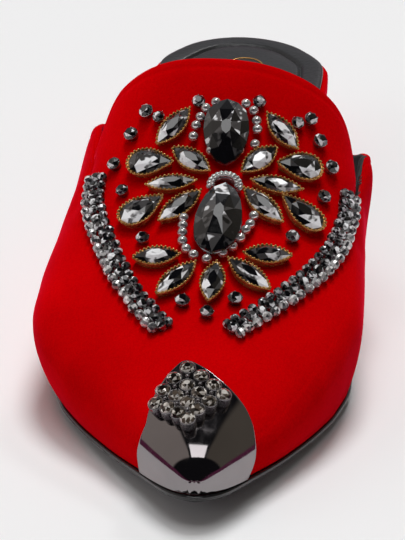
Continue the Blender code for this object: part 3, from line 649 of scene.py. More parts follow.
def rubber_material():
    made, tree, shader = material("tread_rubber")
    grain = noise(tree, 700.0, 3.0, 0.7)
    dust = noise(tree, 22.0, 5.0, 0.65)
    colour = ramp(tree, dust, (0.35, grey(0.012)), (0.8, rgba(0.04, 0.038, 0.036)))
    paint(tree, shader, colour, value_ramp(tree, dust, 0.6, 0.85, 0.3, 0.7))
    bump(tree, shader, grain, 0.5, 0.0003)
    return made


def gunmetal_material():
    made, tree, shader = material("cap_gunmetal", Metallic=1.0)
    cloud = noise(tree, 45.0, 3.0, 0.55)
    scratch = noise(tree, 500.0, 2.0, 0.5, stretch=(1.0, 0.15, 1.0))
    colour = ramp(tree, cloud, (0.3, rgba(0.25, 0.23, 0.235)), (0.75, rgba(0.31, 0.285, 0.29)))
    paint(tree, shader, colour, value_ramp(tree, scratch, 0.05, 0.13, 0.35, 0.7))
    bump(tree, shader, cloud, 0.03, 0.001)
    return made


def metal_material(name, dark, pale, roughness, metallic):
    made, tree, shader = material(name, Metallic=metallic)
    patina = noise(tree, 420.0, 3.0, 0.6)
    rough = value_ramp(tree, patina, roughness + 0.1, roughness, 0.3, 0.7)
    paint(tree, shader, ramp(tree, patina, (0.3, dark), (0.7, pale)), rough)
    bump(tree, shader, patina, 0.15, 0.0001)
    return made


def crystal_material(name, dark, middle, bright, metallic=0.3):
    """Foil-backed smoke crystal: each facet has its own painted brightness. Dark is the smoke colour;
    grey and bright facets are painted reflections and glints.
    """
    made, tree, shader = material(
        name, Metallic=metallic, IOR=1.6, Coat_Weight=0.5, Coat_Roughness=0.02
    )
    tone = attribute(tree, "tone")
    cloud = noise(tree, 420.0, 1.0, 0.5)
    shaded = math_node(tree, "ADD", tone, value_ramp(tree, cloud, -0.16, 0.16, 0.35, 0.65))
    colour = ramp(tree, shaded, (0.38, dark), (0.5, middle), (0.76, middle), (0.88, bright))
    paint(tree, shader, colour, value_ramp(tree, cloud, 0.03, 0.09, 0.3, 0.7))
    return made


VELVET = velvet_material()
LINING_AND_SEAM_SHADE = leather_material("lining_black_and_seam_shade", rgba(0.010, 0.010, 0.011), rgba(0.022, 0.022, 0.024), 0.55)
SOCK = leather_material("insole_leather", rgba(0.014, 0.0145, 0.016), rgba(0.026, 0.027, 0.03), 0.38)
EDGE = gloss_material()
RUBBER = rubber_material()
GUNMETAL = gunmetal_material()
GOLD = metal_material("gold_setting", rgba(0.36, 0.16, 0.03), rgba(0.85, 0.5, 0.17), 0.2, 0.75)
SILVER = metal_material("silver_setting", rgba(0.16, 0.16, 0.17), rgba(0.5, 0.5, 0.51), 0.14, 0.95)
BRIGHT = metal_material("bead_silver_bright", grey(0.5), rgba(0.9, 0.89, 0.88), 0.1, 0.78)
# Stones and cut beads: each facet takes its dark, middle or bright colour by its painted brightness;
# the bright colour and much of the middle one are painted glints and reflections.
CRYSTAL = crystal_material(
    "smoke_crystal", rgba(0.003, 0.003, 0.004), rgba(0.065, 0.062, 0.063), rgba(0.95, 0.96, 0.98), 0.08
)
BEAD_SILVER = crystal_material(
    "bead_silver", rgba(0.07, 0.07, 0.075), rgba(0.4, 0.39, 0.39), rgba(1.0, 0.99, 0.98), 0.3
)
BEAD_DARK = crystal_material(
    "bead_dark", rgba(0.006, 0.006, 0.007), rgba(0.09, 0.09, 0.095), rgba(0.75, 0.75, 0.78)
)
WARM_CRYSTAL = crystal_material(
    "warm_crystal", rgba(0.010, 0.007, 0.005), rgba(0.11, 0.085, 0.065), rgba(0.8, 0.76, 0.7)
)
CUP_METAL = metal_material("gunmetal_cup", rgba(0.16, 0.15, 0.155), rgba(0.36, 0.34, 0.35), 0.22, 0.85)


# The upper ---------------------------------------------------------------------------------------

TOE_ROWS = 96
BACK_ROWS = 60
ROLL_STEPS = 7
COLUMN_STEP = 1.3
TOE_CROWDING = 1.7           # above 1, rows stand closer together at the tip
OUTER_FACING = 30            # rows of velvet turned in behind the edge
INNER_FACING = -1
FACED_FROM, FACED_TO = -84.0, -50.0
ROLL_BULGE = 0.8

# The row of stitches along the upper's edge, as a fine sunk line.
SEAM_FROM_EDGE = 2.0
EDGE_SEAM_WIDTH = 0.5
SEAM_SINK = 0.16

# Soft troughs and ridges of the velvet, from one place to another.
# s, angle, to_s, to_angle, width, height
CREASES = (
    (151.5, 63.0, 166.0, 68.0, 3.2, -0.55),
    (151.0, 68.0, 163.0, 76.0, 4.0, 0.35),
    (150.5, 63.0, 157.0, 64.2, 1.0, -0.6),
    (147.5, -56.8, 160.0, -61.0, 3.0, -0.5),
    (147.2, -56.4, 154.0, -58.4, 1.1, -0.6),
    (147.0, -62.0, 158.0, -68.0, 4.0, 0.3),
    (104.0, 92.0, 128.0, 101.0, 5.0, -0.35),
    (100.0, -94.0, 126.0, -103.0, 5.0, -0.3),
    (236.0, 66.0, 222.0, 76.0, 4.0, -0.3),
    (236.0, -66.0, 220.0, -78.0, 4.0, -0.3),
)
# The slot between the tongue and the inner wing. Its lower half is the wing's outer face, sunk and
# finished as lining: the form's edge turns in sooner than the shoe's.
# s, angle
SLOT_EDGE = (
    (138.0, 63.8), (143.0, 64.0), (146.0, 64.6), (148.0, 65.4), (149.2, 65.9), (150.4, 65.0),
    (151.4, 62.6),
)
SLOT_SIDE = 62.6
SLOT_ROLL = 66.5             # the wing's rolled edge is lining as far as this angle
SLOT_SINK = 0.8
FINE_ANGLES = np.arange(SLOT_SIDE, 66.4, 0.2)


def distance_to_segment(points, a, b):
    along = b - a
    t = np.clip(((points - a) @ along) / (along @ along), 0, 1)
    return np.linalg.norm(points - (a + t[..., None] * along), axis=-1)


def crease_height(points):
    """How far the creases lift the velvet at each point."""
    height = np.zeros(points.shape[:-1])
    for s, angle, to_s, to_angle, width, size in CREASES:
        a = form(s, angle)
        b = form(to_s, to_angle)
        height += size * np.exp(-((distance_to_segment(points, a, b) / width) ** 2))
    return height


def upper_angles():
    base = sorted({-a for a in OUTER_ANGLES} | {0.0} | set(INNER_ANGLES))
    return np.union1d(refined([float(a) for a in base], COLUMN_STEP), FINE_ANGLES)


def upper_places():
    """The s and angle of each point of the upper's grid, tip row first."""
    angles = upper_angles()
    toe = (np.arange(TOE_ROWS + 1) / TOE_ROWS) ** TOE_CROWDING
    front = UPPER_TIP - (UPPER_TIP - WARP_START) * toe[:, None] + 0 * angles
    back = (np.arange(1, BACK_ROWS + 1) / BACK_ROWS)[:, None]
    rear = WARP_START - (WARP_START - topline(angles)) * back
    s = np.concatenate([front, rear])
    return s, np.broadcast_to(angles, s.shape)


def in_slot(s, angle):
    """Which places of the outer face lie in the slot beside the tongue."""
    edge = np.interp(s, [row[0] for row in SLOT_EDGE], [row[1] for row in SLOT_EDGE])
    return (angle > SLOT_SIDE) & (angle < edge) & (s < SLOT_EDGE[-1][0])


def make_upper():
    s, angles = upper_places()
    rows, columns = s.shape
    outer = skin(s, angles, 0.0)
    seam = -SEAM_SINK * np.exp(-(((s - topline(angles) - SEAM_FROM_EDGE) / EDGE_SEAM_WIDTH) ** 2))
    sunk = -SLOT_SINK * in_slot(s, angles)
    outer = outer + outward(s, angles) * (crease_height(outer) + seam + sunk)[..., None]
    share = (HOLLOW_TIP - WARP_START) / (UPPER_TIP - WARP_START)
    hollow = np.where(s > WARP_START, WARP_START + (s - WARP_START) * share, s)
    inner = skin(hollow, angles, -WALL)
    roll = rolled_edge(outer, inner, outward(s[-1], angles[-1]), ROLL_STEPS, 3, ROLL_BULGE)
    sheet = np.concatenate([outer, roll, inner[::-1]])
    total = len(sheet)
    heap = Heap()
    faces = grid_faces(total, columns)
    heap.add(sheet, faces)
    faced = (angles[-1] < FACED_TO) & (angles[-1] > FACED_FROM)
    split = rows + ROLL_STEPS - 2 + np.where(faced, OUTER_FACING, INNER_FACING)
    for k in range(len(faces)):
        heap.finish[k] = int(k // (columns - 1) >= split[k % (columns - 1)])
    centres = [(g[:-1, :-1] + g[1:, :-1] + g[:-1, 1:] + g[1:, 1:]) / 4 for g in (s, angles)]
    for k in np.flatnonzero(in_slot(*centres)):
        heap.finish[k] = 1
    beside = np.flatnonzero((centres[1][0] > SLOT_SIDE) & (centres[1][0] < SLOT_ROLL))
    for row in range(rows - 1, rows + ROLL_STEPS - 2):
        for place in beside:
            heap.finish[row * (columns - 1) + place] = 1
    # The wall's bottom edges, hidden by the sole.
    for line in (0, columns - 1):
        for i in range(rows - 1):
            a, b = i * columns + line, (i + 1) * columns + line
            c, d = (total - 2 - i) * columns + line, (total - 1 - i) * columns + line
            face = [a, b, c, d]
            heap.close(face if line else face[::-1], 1)
    heap.piece("velvet_upper", (VELVET, LINING_AND_SEAM_SHADE), "red_velvet", "upper")


make_upper()


# The sole, the footbed and the heel ---------------------------------------------------------------

def turned(start, end, count):
    """Values of s from start to end, closer together where the sole's plan turns its ends."""
    return LENGTH * (1 - np.cos(np.linspace(turn(start), turn(end), count))) / 2


def slab(rows, profile, across, surface):
    """Loops of a flat body. profile holds (plan, height(s, q)) from the lowest outer edge up; surface
    gives the heights of its lower and upper faces at (s, q), and across the values of q on them."""

    def spots(s, plan, height, values):
        at = float(np.clip(s, plan[0][0], plan[0][-1]))
        half = float(np.interp(at, *plan))
        centre = float(sole("centre", at))
        return [(centre + half * q, LENGTH / 2 - at, height(at, q)) for q in values]

    low, high = surface
    inside = across[1:-1]
    loops = []
    for s in rows:
        loop = []
        for plan, height in profile:
            loop += spots(s, plan, height, (1,))
        loop += spots(s, profile[-1][0], high, inside[::-1])
        for plan, height in profile[::-1]:
            loop += spots(s, plan, height, (-1,))
        loop += spots(s, profile[0][0], low, inside)
        loops.append(loop)
    return np.array(loops, float)


def loft_into(heap, loops, finish, bands=None):
    """Adds a closed body skinned over loops; bands, if given, is the finish of each column."""
    rings, size = loops.shape[:2]
    faces = grid_faces(rings, size, wrap=True)
    start = len(heap.faces)
    heap.add(loops, faces, finish)
    if bands is not None:
        for k in range(len(faces)):
            heap.finish[start + k] = bands[k % size]
    first = heap.count - rings * size
    ends = [[first + ring * size + j for j in range(size)] for ring in (0, rings - 1)]
    heap.close(ends[0], finish)
    heap.close(ends[1][::-1], finish)


# inset, up
SOLE_PROFILE = (
    (4.6, 0.0), (3.5, 0.5), (2.3, 1.1), (1.2, 1.66), (0.5, 2.05), (0.14, 2.3), (0.0, 2.56), (0.0, 2.78),
    (0.1, 2.9), (0.02, 3.02), (0.04, 3.2), (0.16, 3.36), (0.4, 3.47), (0.8, 3.5),
)
ACROSS = np.linspace(-1, 1, 41)


def make_sole():
    """The flat sole: a glossy painted edge with a fine line round it, and a rubber tread below."""
    rows = np.concatenate([[HEEL_LENGTH + GAP], turned(HEEL_LENGTH + GAP, LENGTH - 0.02, 260)[1:]])
    profile = []
    for inset, up in SOLE_PROFILE:
        plan = outline(lambda s, d=inset: np.full_like(s, d))
        profile.append((plan, lambda s, q, u=up: float(sole("underside", s)) + u))
    faces = (lambda s, q: float(sole("underside", s)), lambda s, q: float(sole_top(s)))
    loops = slab(rows, profile, ACROSS, faces)
    tread = len(ACROSS) - 1
    bands = [0] * (loops.shape[1] - tread) + [1] * tread
    heap = Heap()
    loft_into(heap, loops, 0, bands)
    heap.piece("sole_with_tread", (EDGE, RUBBER), "glossy_black_edge", "outsole")


def seat_dish(s, q):
    near = np.clip(abs(s - SEAT_MIDDLE) / SEAT_REACH, 0, 1)
    return SEAT_DISH * math.cos(near * math.pi / 2) ** 2 * (1 - q * q)


def footbed_top(s, q):
    return float(sole_top(s) + GAP + bed("thickness", s)) - seat_dish(s, q)


def bed_plan(name, inset):
    return outline(lambda s: bed(name, s) + inset)


FOOTBED_PROFILE = ((0.7, 0.0), (0.25, 0.12), (0.04, 0.45), (0.0, 1.0))
FOOTBED_SHOULDER = ((0.0, 1.3), (0.08, 0.75), (0.34, 0.3), (0.8, 0.06), (1.3, 0.0))
BED_ROWS = 220


def bed_rows(plan):
    first, last = plan[0][0] + 0.02, plan[0][-1] - 0.02
    return first + (last - first) * (1 - np.cos(np.linspace(0, math.pi, BED_ROWS))) / 2


def bed_loops(name, foot, shoulder, across, low, high):
    """Loops of a layer that lies in the shoe; foot is measured up from its lower face, and shoulder
    down from its upper one."""
    profile = []
    for face, way, rows in ((low, 1, foot), (high, -1, shoulder)):
        for inset, step in rows:
            profile.append((bed_plan(name, inset), lambda s, q, f=face, u=way * step: f(s, 1.0) + u))
    return slab(bed_rows(bed_plan(name, 0.0)), profile, across, (low, high))


def make_footbed():
    """The board wrapped in velvet, which shows as a red rim round the heel."""
    heap = Heap()
    faces = (lambda s, q: float(sole_top(s)) + GAP, footbed_top)
    loft_into(heap, bed_loops("footbed", FOOTBED_PROFILE, FOOTBED_SHOULDER, ACROSS, *faces), 0)
    heap.piece("velvet_footbed", (VELVET,), "red_velvet", "footbed")


SOCK_PROFILE = ((0.25, 0.0), (0.05, 0.15), (0.0, 0.5))
SOCK_SHOULDER = ((0.0, 0.75), (0.12, 0.4), (0.45, 0.12), (1.0, 0.0))
SEAM_INSET = 7.2
SEAM_WIDTH = 0.62
SEAM_DEPTH = 0.95
SEAM_SHADE = 0.42             # half the width of the channel's floor that is painted darker as shade
PUFF = 0.55                  # how far the padding crowns between the seam and the middle
CROWN_RUN = 5.0              # how far in from the edge the crown rises
SOFT_DEPTH = 0.35            # the wide dip that the channel pulls in
SOFT_WIDTH = 3.0
PAD_ACROSS = np.concatenate(
    [np.linspace(-1, -0.5, 30)[:-1], np.linspace(-0.5, 0.5, 21), np.linspace(0.5, 1, 30)[1:]]
)


def plan_distance(plan, s, x):
    """Distance from (s, x), measured from the plan's middle line, to the plan's edge."""
    line_s = np.concatenate([plan[0], plan[0][::-1]])
    line_x = np.concatenate([plan[1], -plan[1][::-1]])
    gap = np.hypot(np.asarray(s)[..., None] - line_s, np.asarray(x)[..., None] - line_x)
    return gap.min(axis=-1)


DENSE_POINTS = 900


def dense(plan):
    """The same plan with points close together, for measuring distances."""
    s, half = plan
    run = np.concatenate([[0], np.cumsum(np.hypot(np.diff(s), np.diff(half)))])
    even = np.linspace(0, run[-1], DENSE_POINTS)
    return np.interp(even, run, s), np.interp(even, run, half)


def sock_relief(s, x, plan):
    """The insole's soft crown and its sewn channel, at a distance from its edge."""
    depth = plan_distance(plan, s, x)
    crown = PUFF * (1 - np.exp(-depth / CROWN_RUN))
    channel = SEAM_DEPTH * np.exp(-(((depth - SEAM_INSET) / SEAM_WIDTH) ** 2))
    soft = SOFT_DEPTH * np.exp(-(((depth - SEAM_INSET) / SOFT_WIDTH) ** 2))
    return crown - channel - soft


def make_insole():
    """The padded leather sock with a channel sewn round it, the channel's floor painted darker as
    shade.
    """
    edge = bed_plan("sock", 0.0)
    fine = dense(edge)
    top = GAP + SOCK_THICKNESS
    faces = (lambda s, q: footbed_top(s, q) + GAP, lambda s, q: footbed_top(s, q) + top)
    loops = bed_loops("sock", SOCK_PROFILE, SOCK_SHOULDER, PAD_ACROSS, *faces)
    first = len(SOCK_PROFILE) + len(SOCK_SHOULDER)
    crown = loops[:, first:first + len(PAD_ACROSS) - 2]
    centre = sole("centre", bed_rows(edge))[:, None]
    crown[..., 2] += sock_relief(LENGTH / 2 - crown[..., 1], crown[..., 0] - centre, fine)
    heap = Heap()
    loft_into(heap, loops, 0)
    points = heap.points[0]
    for k, face in enumerate(heap.faces):
        x, y, _ = points[face].mean(axis=0)
        s = LENGTH / 2 - y
        depth = float(plan_distance(fine, np.array(s), np.array(x - sole("centre", s))))
        # The channel's floor takes the darker lining leather: painted shade in the groove.
        heap.finish[k] = 1 if abs(depth - SEAM_INSET) < SEAM_SHADE else 0
    made = heap.piece("padded_insole", (SOCK, LINING_AND_SEAM_SHADE), "black_leather", "insole")


HEEL_SIDE = 60               # points along each side of a heel section, and across its breast
HEEL_BREAST = 31


def heel_loop(drop, height, bow):
    """A plan section of the heel, tapered by drop; bow swells it."""
    plan = outline(lambda s: np.full_like(s, GAP + HEEL_TAPER * drop - bow))
    breast = HEEL_LENGTH - HEEL_TAPER * drop
    back = plan[0][0]
    s = back + (breast - back) * (1 - np.cos(np.linspace(0, math.pi / 2, HEEL_SIDE)))
    half = np.interp(s, *plan)
    middle = sole("centre", s)
    outer = [(middle[k] - half[k], s[k]) for k in range(HEEL_SIDE - 1, 0, -1)]
    inner = [(middle[k] + half[k], s[k]) for k in range(HEEL_SIDE)]
    hollow = []
    for q in np.linspace(0.94, -0.94, HEEL_BREAST):
        hollow.append((middle[-1] + half[-1] * q, breast - BREAST_HOLLOW * (1 - q * q)))
    return [(x, LENGTH / 2 - v, height(v)) for x, v in outer + inner + hollow]


# Up the heel from the floor to the sole, how much of its taper is left at each share of its height.
HEEL_SHARES = (0, 0.28, 0.6, 1.0)
HEEL_TAPERS = (1.0, 0.7, 0.35, 0.0)
HEEL_RINGS = 26
HEEL_TURN_IN = 1.6
HEEL_BOW = 0.5               # how far the block draws in at its two ends, and how fast that fades
HEEL_BOW_FADE = 22
# inset, z
LIFT_PROFILE = (
    (1.2, 4.0), (0.15, 4.0), (0.0, 3.85), (0.0, 2.6), (0.12, 2.45), (0.0, 2.3), (0.0, 0.9), (0.25, 0.4),
    (0.8, 0.0), (1.6, 0.0),
)


def make_heel():
    """The velvet-wrapped block, its wrapping turned in at both ends."""
    foot = LIFT_THICKNESS + GAP
    heap = Heap()
    loops = []
    for share in np.concatenate([[1.0], np.linspace(1.0, 0.0, HEEL_RINGS), [0.0]]):
        drop = float(np.interp(share, HEEL_SHARES, HEEL_TAPERS))
        bow = -HEEL_BOW * (math.exp(-share * HEEL_BOW_FADE) + math.exp(-(1 - share) * HEEL_BOW_FADE))
        if len(loops) in (0, HEEL_RINGS + 1):
            bow = -HEEL_TURN_IN
        loops.append(heel_loop(drop, lambda s, k=share: foot + k * (float(sole_top(s)) - foot), bow))
    loft_into(heap, np.array(loops, float), 0)
    heap.piece("velvet_heel", (VELVET,), "red_velvet", "heel")


def make_lift():
    """The rubber top piece, with a bevelled edge and a fine line where its two layers meet."""
    heap = Heap()
    loops = [heel_loop(1.0, lambda s, h=z: h, -inset) for inset, z in LIFT_PROFILE]
    loft_into(heap, np.array(loops, float), 0)
    heap.piece("rubber_top_piece", (RUBBER,), "black_rubber", "heel_lift")


RING_S = 24.6
RING_X = 2.6
RING_RADIUS = 5.6
RING_THICK = 0.35
RING_AROUND = 96
RING_SECTION = 8


def make_ring():
    """A plain thin gold ring pressed into the heel seat."""
    heap = Heap()
    plan = dense(bed_plan("sock", 0.0))
    points = []
    for k in range(RING_AROUND):
        swing = 2 * math.pi * k / RING_AROUND
        for j in range(RING_SECTION):
            tip = 2 * math.pi * j / RING_SECTION
            radius = RING_RADIUS + RING_THICK * math.cos(tip)
            s = RING_S + radius * math.cos(swing)
            x = RING_X + radius * math.sin(swing)
            aside = x - float(sole("centre", s))
            q = aside / float(np.interp(s, *plan))
            relief = float(sock_relief(np.array(s), np.array(aside), plan))
            z = footbed_top(s, q) + GAP + SOCK_THICKNESS + relief
            up = 0.22 * RING_THICK + 0.45 * RING_THICK * math.sin(tip)
            points.append((x, LENGTH / 2 - s, z + up))
    faces = np.array(grid_faces(RING_AROUND + 1, RING_SECTION, wrap=True)) % len(points)
    heap.add(points, faces.tolist())
    heap.piece("heel_seat_ring", (GOLD,), "black_leather")


make_sole()
make_footbed()
make_insole()
make_heel()
make_lift()
make_ring()


# The toe cap --------------------------------------------------------------------------------------

CAP_ROWS = 90
CAP_COLUMN_STEP = 1.5
CAP_ROLL = 5
CAP_CROWDING = 1.5

PUCKER_PITCH = 2.2
PUCKER_SPREAD = 3.4
PUCKER_HEIGHT = 0.26
PUCKER_START = 246.0
PUCKER_RUN = 5.0
PUCKER_ANGLE = 76.0          # the folds start here and are full PUCKER_TURN further round
PUCKER_TURN = 24.0


def pucker(s, angle, x):
    """The little folds under the point, where the metal is gathered over the sole's edge."""
    under = np.clip((np.abs(angle) - PUCKER_ANGLE) / PUCKER_TURN, 0, 1)
    near = np.clip((s - PUCKER_START) / PUCKER_RUN, 0, 1)
    folds = np.cos(2 * math.pi * x / PUCKER_PITCH) * np.exp(-((x / PUCKER_SPREAD) ** 2))
    return -PUCKER_HEIGHT * folds * under * under * (3 - 2 * under) * near * near * (3 - 2 * near)


def make_cap():
    """The polished metal cap over the point, its edge rolled in."""
    angles = refined([float(a) for a in range(-120, 121, 10)], CAP_COLUMN_STEP)
    toe = (np.arange(CAP_ROWS + 1) / CAP_ROWS) ** CAP_CROWDING
    s = UPPER_TIP - (UPPER_TIP - cap_edge(angles)) * toe[:, None]
    places = np.broadcast_to(angles, s.shape)
    outer = skin(s, places, GAP + CAP_METAL)
    inner = skin(s, places, GAP)
    aside = outer[..., 0] - sole("centre", UPPER_TIP)
    outer = outer + outward(s, places) * pucker(s, places, aside)[..., None]
    roll = rolled_edge(outer, inner, outward(s[-1], angles), CAP_ROLL, 4)
    sheet = np.concatenate([outer, roll, inner[::-1]])
    heap = Heap()
    heap.add(sheet, grid_faces(*sheet.shape[:2]))
    heap.piece("metal_toe_cap", (GUNMETAL,), "gunmetal", "toe_cap")


make_cap()


# Cut stones, settings and beads -------------------------------------------------------------------

GOLD_GIRDLE = 1.8
GOLD_TOP = 3.3
LARGE_GIRDLES = (1.8, 3.0)   # of the back stone and of the front one
LARGE_RISE = 3.3
CHATON_GIRDLE = 1.5
CHATON_TOP = 2.7
CUP_TOP = 2.8
CUP_WIDTH = 4.35
CUP_FOOT = -0.6
SINK = 0.3                   # how far the settings reach into the velvet
PRONGS = 4
GRAIN_PITCH = 1.2
GRAIN_RADIUS = 0.4
MARQUISE_POWER = 2.05
GLINT_X = 2.0                # the stones' painted glint patch changes side here

# How a stone is cut: folds is how often its pattern repeats, table and waist are the widths of its
# crown as shares of the girdle's, and bright is the share of facets painted bright as glints. lean
# paints the facets to its back paler as painted reflection, and glint is the reach of its painted
# glint.
GOLD_CUT = dict(folds=6, table=0.42, waist=0.74, bright=0.03, glint=0.46)
LARGE_CUT = dict(folds=8, table=0.22, waist=0.66, bright=0.03, lean=0.5)
CHATON_CUT = dict(folds=6, table=0.5, waist=0.8, bright=0.03, glint=0.42)
BRAID_CUT = dict(CHATON_CUT, folds=5)
CUP_CUT = dict(folds=7, table=0.4, waist=0.76, bright=0.06, lean=-0.5)

# Settings from the foot up: share of the stone's outline, share of the girdle's height, up from there.
GOLD_WALL = (
    (0.88, 0, 0.0), (0.9, 0, 0.0), (1.0, 1, -0.15), (1.0, 1, 0.1), (0.95, 1, 0.22), (0.9, 1, -0.1),
)
LARGE_WALL = ((0.8, 0, 0.0), (0.86, 0, 0.0), (0.94, 0.5, 0.0), (0.985, 1, -0.4), (0.93, 1, 0.0))
CHATON_WALL = ((0.78, 0, 0.0), (0.8, 0, 0.0), (0.95, 1, -0.3), (0.98, 1, -0.08), (0.94, 1, 0.0))
CUP_WALL = ((0.96, 0, 0.0), (0.98, 1, -0.3), (0.96, 1, -0.1), (0.92, 1, -0.04), (0.86, 1, -0.25))


def half_width(cut, u):
    """Half the width of a cut, from 0 to 1, at u along it from -1 to 1."""
    u = np.clip(np.asarray(u, float), -1, 1)
    if cut == "marquise":
        return 1 - np.abs(u) ** MARQUISE_POWER
    if cut == "round":
        return np.sqrt(1 - u * u)
    places = np.arccos([-p[0] for p in CUTS[cut]])
    return smooth_curve(places, [p[1] for p in CUTS[cut]], np.arccos(-u))


def cut_ring(cut, length, width, count):
    """count points round a cut's outline, evenly spaced along it from its narrow end."""
    theta = np.linspace(0, math.pi, 200)
    u = np.cos(theta)
    right = np.column_stack([u * length / 2, half_width(cut, u) * width / 2])
    whole = np.concatenate([right, right[-2:0:-1] * [1, -1], right[:1]])
    run = np.concatenate([[0], np.cumsum(np.linalg.norm(np.diff(whole, axis=0), axis=1))])
    even = np.linspace(0, run[-1], count + 1)[:-1]
    return np.column_stack([np.interp(even, run, whole[:, k]) for k in range(2)])


def painted_facet_glints(count, bright, middle=0.35):
    """A brightness for each facet: mostly dark, some grey and a few bright, the grey and bright ones
    painted reflections and glints.
    """
    pick = RNG.random(count)
    tone = RNG.uniform(0.0, 0.42, count)
    tone = np.where(pick < middle + bright, RNG.uniform(0.5, 0.8, count), tone)
    return np.where(pick < bright, RNG.uniform(0.88, 1.0, count), tone)


def painted_glint_patch(centres, at, axes, reach):
    """Which facets lie in the patch of a stone painted bright as a glint of the light: low and to its
    outer side.
    """
    place = np.array((math.copysign(0.5, at[0] - GLINT_X), -0.6, 0.0))
    place[:2] += RNG.normal(0.0, 0.16, 2)
    spot = axes[:2] @ place * 0.72
    return np.linalg.norm(centres - spot, axis=1) < reach


def to_surface(local, at, axes):
    return np.asarray(local, float) @ axes + at


def add_gem(heap, at, axes, cut, size, girdle, top, folds, table, waist, bright, lean=0.0, glint=0.0):
    """A faceted stone with painted glints: girdle, a ring of kites and stars, and a flat table."""
    around = 2 * folds
    ring = cut_ring(cut, *size, around)
    rise = top - girdle
    levels = (
        (ring * 0.96, girdle - 0.5),
        (ring, girdle),
        (ring * 0.985, girdle + 0.14 * rise),
        (ring[1::2] * waist, girdle + 0.62 * rise),
        (ring[0::2] * table, top),
    )
    points = np.concatenate([np.column_stack([row, np.full(len(row), z)]) for row, z in levels])
    edge, high, middle, crown = around, 2 * around, 3 * around, 3 * around + folds
    faces = []
    for j in range(around):
        k = (j + 1) % around
        faces.append([j, k, edge + k, edge + j])
        faces.append([edge + j, edge + k, high + k, high + j])
    for j in range(folds):
        k = (j + 1) % folds
        a, b, c = 2 * j, 2 * j + 1, (2 * j + 2) % around
        faces.append([high + a, high + b, middle + j])
        faces.append([high + b, high + c, middle + j])
        faces.append([middle + j, high + c, middle + k])
        faces.append([middle + j, middle + k, crown + k])
        faces.append([crown + j, middle + j, crown + k])
    faces.append([crown + j for j in range(folds)])
    placed = to_surface(points, at, axes)
    # Facets to the back are painted paler by lean, and those in the glint patch painted bright: painted
    # reflection and glints.
    back = np.array([placed[face].mean(axis=0)[1] - at[1] for face in faces]) / size[0]
    tones = np.clip(painted_facet_glints(len(faces), bright) + lean * back, 0.0, 1.0)
    if glint:
        centres = np.array([points[face].mean(axis=0)[:2] for face in faces]) * 2 / size
        painted_glint = painted_glint_patch(centres, at, axes, glint)
        tones = np.where(painted_glint, RNG.uniform(0.84, 1.0, len(faces)), tones)
    heap.add(placed, faces, 0, False, tones)


def ball_mesh(rings, around):
    points = [(0.0, 0.0, 1.0)]
    for i in range(1, rings):
        tip = math.pi * i / rings
        for j in range(around):
            swing = 2 * math.pi * j / around
            out = math.sin(tip)
            points.append((out * math.cos(swing), out * math.sin(swing), math.cos(tip)))
    points.append((0.0, 0.0, -1.0))
    faces = []
    for j in range(around):
        k = (j + 1) % around
        faces.append([0, 1 + j, 1 + k])
        for i in range(rings - 2):
            a, b = 1 + i * around + j, 1 + i * around + k
            faces.append([a, a + around, b + around, b])
        last = 1 + (rings - 2) * around
        faces.append([last + j, len(points) - 1, last + k])
    return np.array(points), faces


FINE_BALL = ball_mesh(6, 8)
ROUND_BALL = ball_mesh(10, 16)
CUT_BALL = ball_mesh(6, 9)


def add_ball(heap, at, axes, radius, finish, ball=FINE_BALL, smooth=True, squeeze=1.0, tone=0.0):
    points, faces = ball
    heap.add(to_surface(points * radius * [1, 1, squeeze], at, axes), faces, finish, smooth, tone)


def add_wall(heap, at, axes, ring, wall, foot, girdle):
    """The metal wall round a stone: wall's first row stands at the height foot."""
    heights = [foot] + [part * girdle + up for _, part, up in wall[1:]]
    rings = [np.column_stack([ring * row[0], np.full(len(ring), z)]) for row, z in zip(wall, heights)]
    faces = grid_faces(len(rings), len(ring), wrap=True)
    heap.add(to_surface(np.concatenate(rings), at, axes), faces, 1)


def seat(s, angle, turned_by, reach):
    """Where a stone stands: its place, its axes, and how far below that the velvet is."""
    axes = axes_at(s, angle, turned_by)
    lift = clearance(s, angle, axes, reach) + GAP
    return form(s, angle) + axes[2] * lift, axes, lift


def make_gold_stones():
    heap = Heap()
    for _, cut, s, angle, turned_by, length, width in GOLD_STONES:
        at, axes, lift = seat(s, angle, turned_by, (length / 2, width / 2))
        ring = cut_ring(cut, length, width, 48)
        add_wall(heap, at, axes, ring, GOLD_WALL, -lift - SINK, GOLD_GIRDLE)
        run = np.sum(np.linalg.norm(ring - np.roll(ring, 1, axis=0), axis=1))
        for x, y in cut_ring(cut, length * 0.985, width * 0.97, int(round(run / GRAIN_PITCH))):
            spot = to_surface((x, y, GOLD_GIRDLE + 0.2), at, axes)
            add_ball(heap, spot, axes, GRAIN_RADIUS, 1, squeeze=1.1)
        add_gem(heap, at, axes, cut, (length * 0.93, width * 0.9), GOLD_GIRDLE, GOLD_TOP, **GOLD_CUT)
    nodes = [f"gold_stone_{row[0]}" for row in GOLD_STONES]
    heap.piece("gold_set_stones", (CRYSTAL, GOLD), "gold_set_smoke_crystal", *nodes)


def make_large_stones():
    heap = Heap()
    for (_, cut, s, angle, turned_by, length, width), girdle in zip(LARGE_STONES, LARGE_GIRDLES):
        at, axes, lift = seat(s, angle, turned_by, (length / 2, width / 2))
        add_wall(heap, at, axes, cut_ring(cut, length, width, 56), LARGE_WALL, -lift - SINK, girdle)
        size = (length * 0.99, width * 0.99)
        add_gem(heap, at, axes, cut, size, girdle, girdle + LARGE_RISE, **LARGE_CUT)
    nodes = [f"large_stone_{row[0]}" for row in LARGE_STONES]
    heap.piece("large_stones", (CRYSTAL, SILVER), "smoke_crystal", *nodes)


def circle(width):
    """The outline of a round stone's setting."""
    return cut_ring("round", 1.0, 1.0, 24) * width


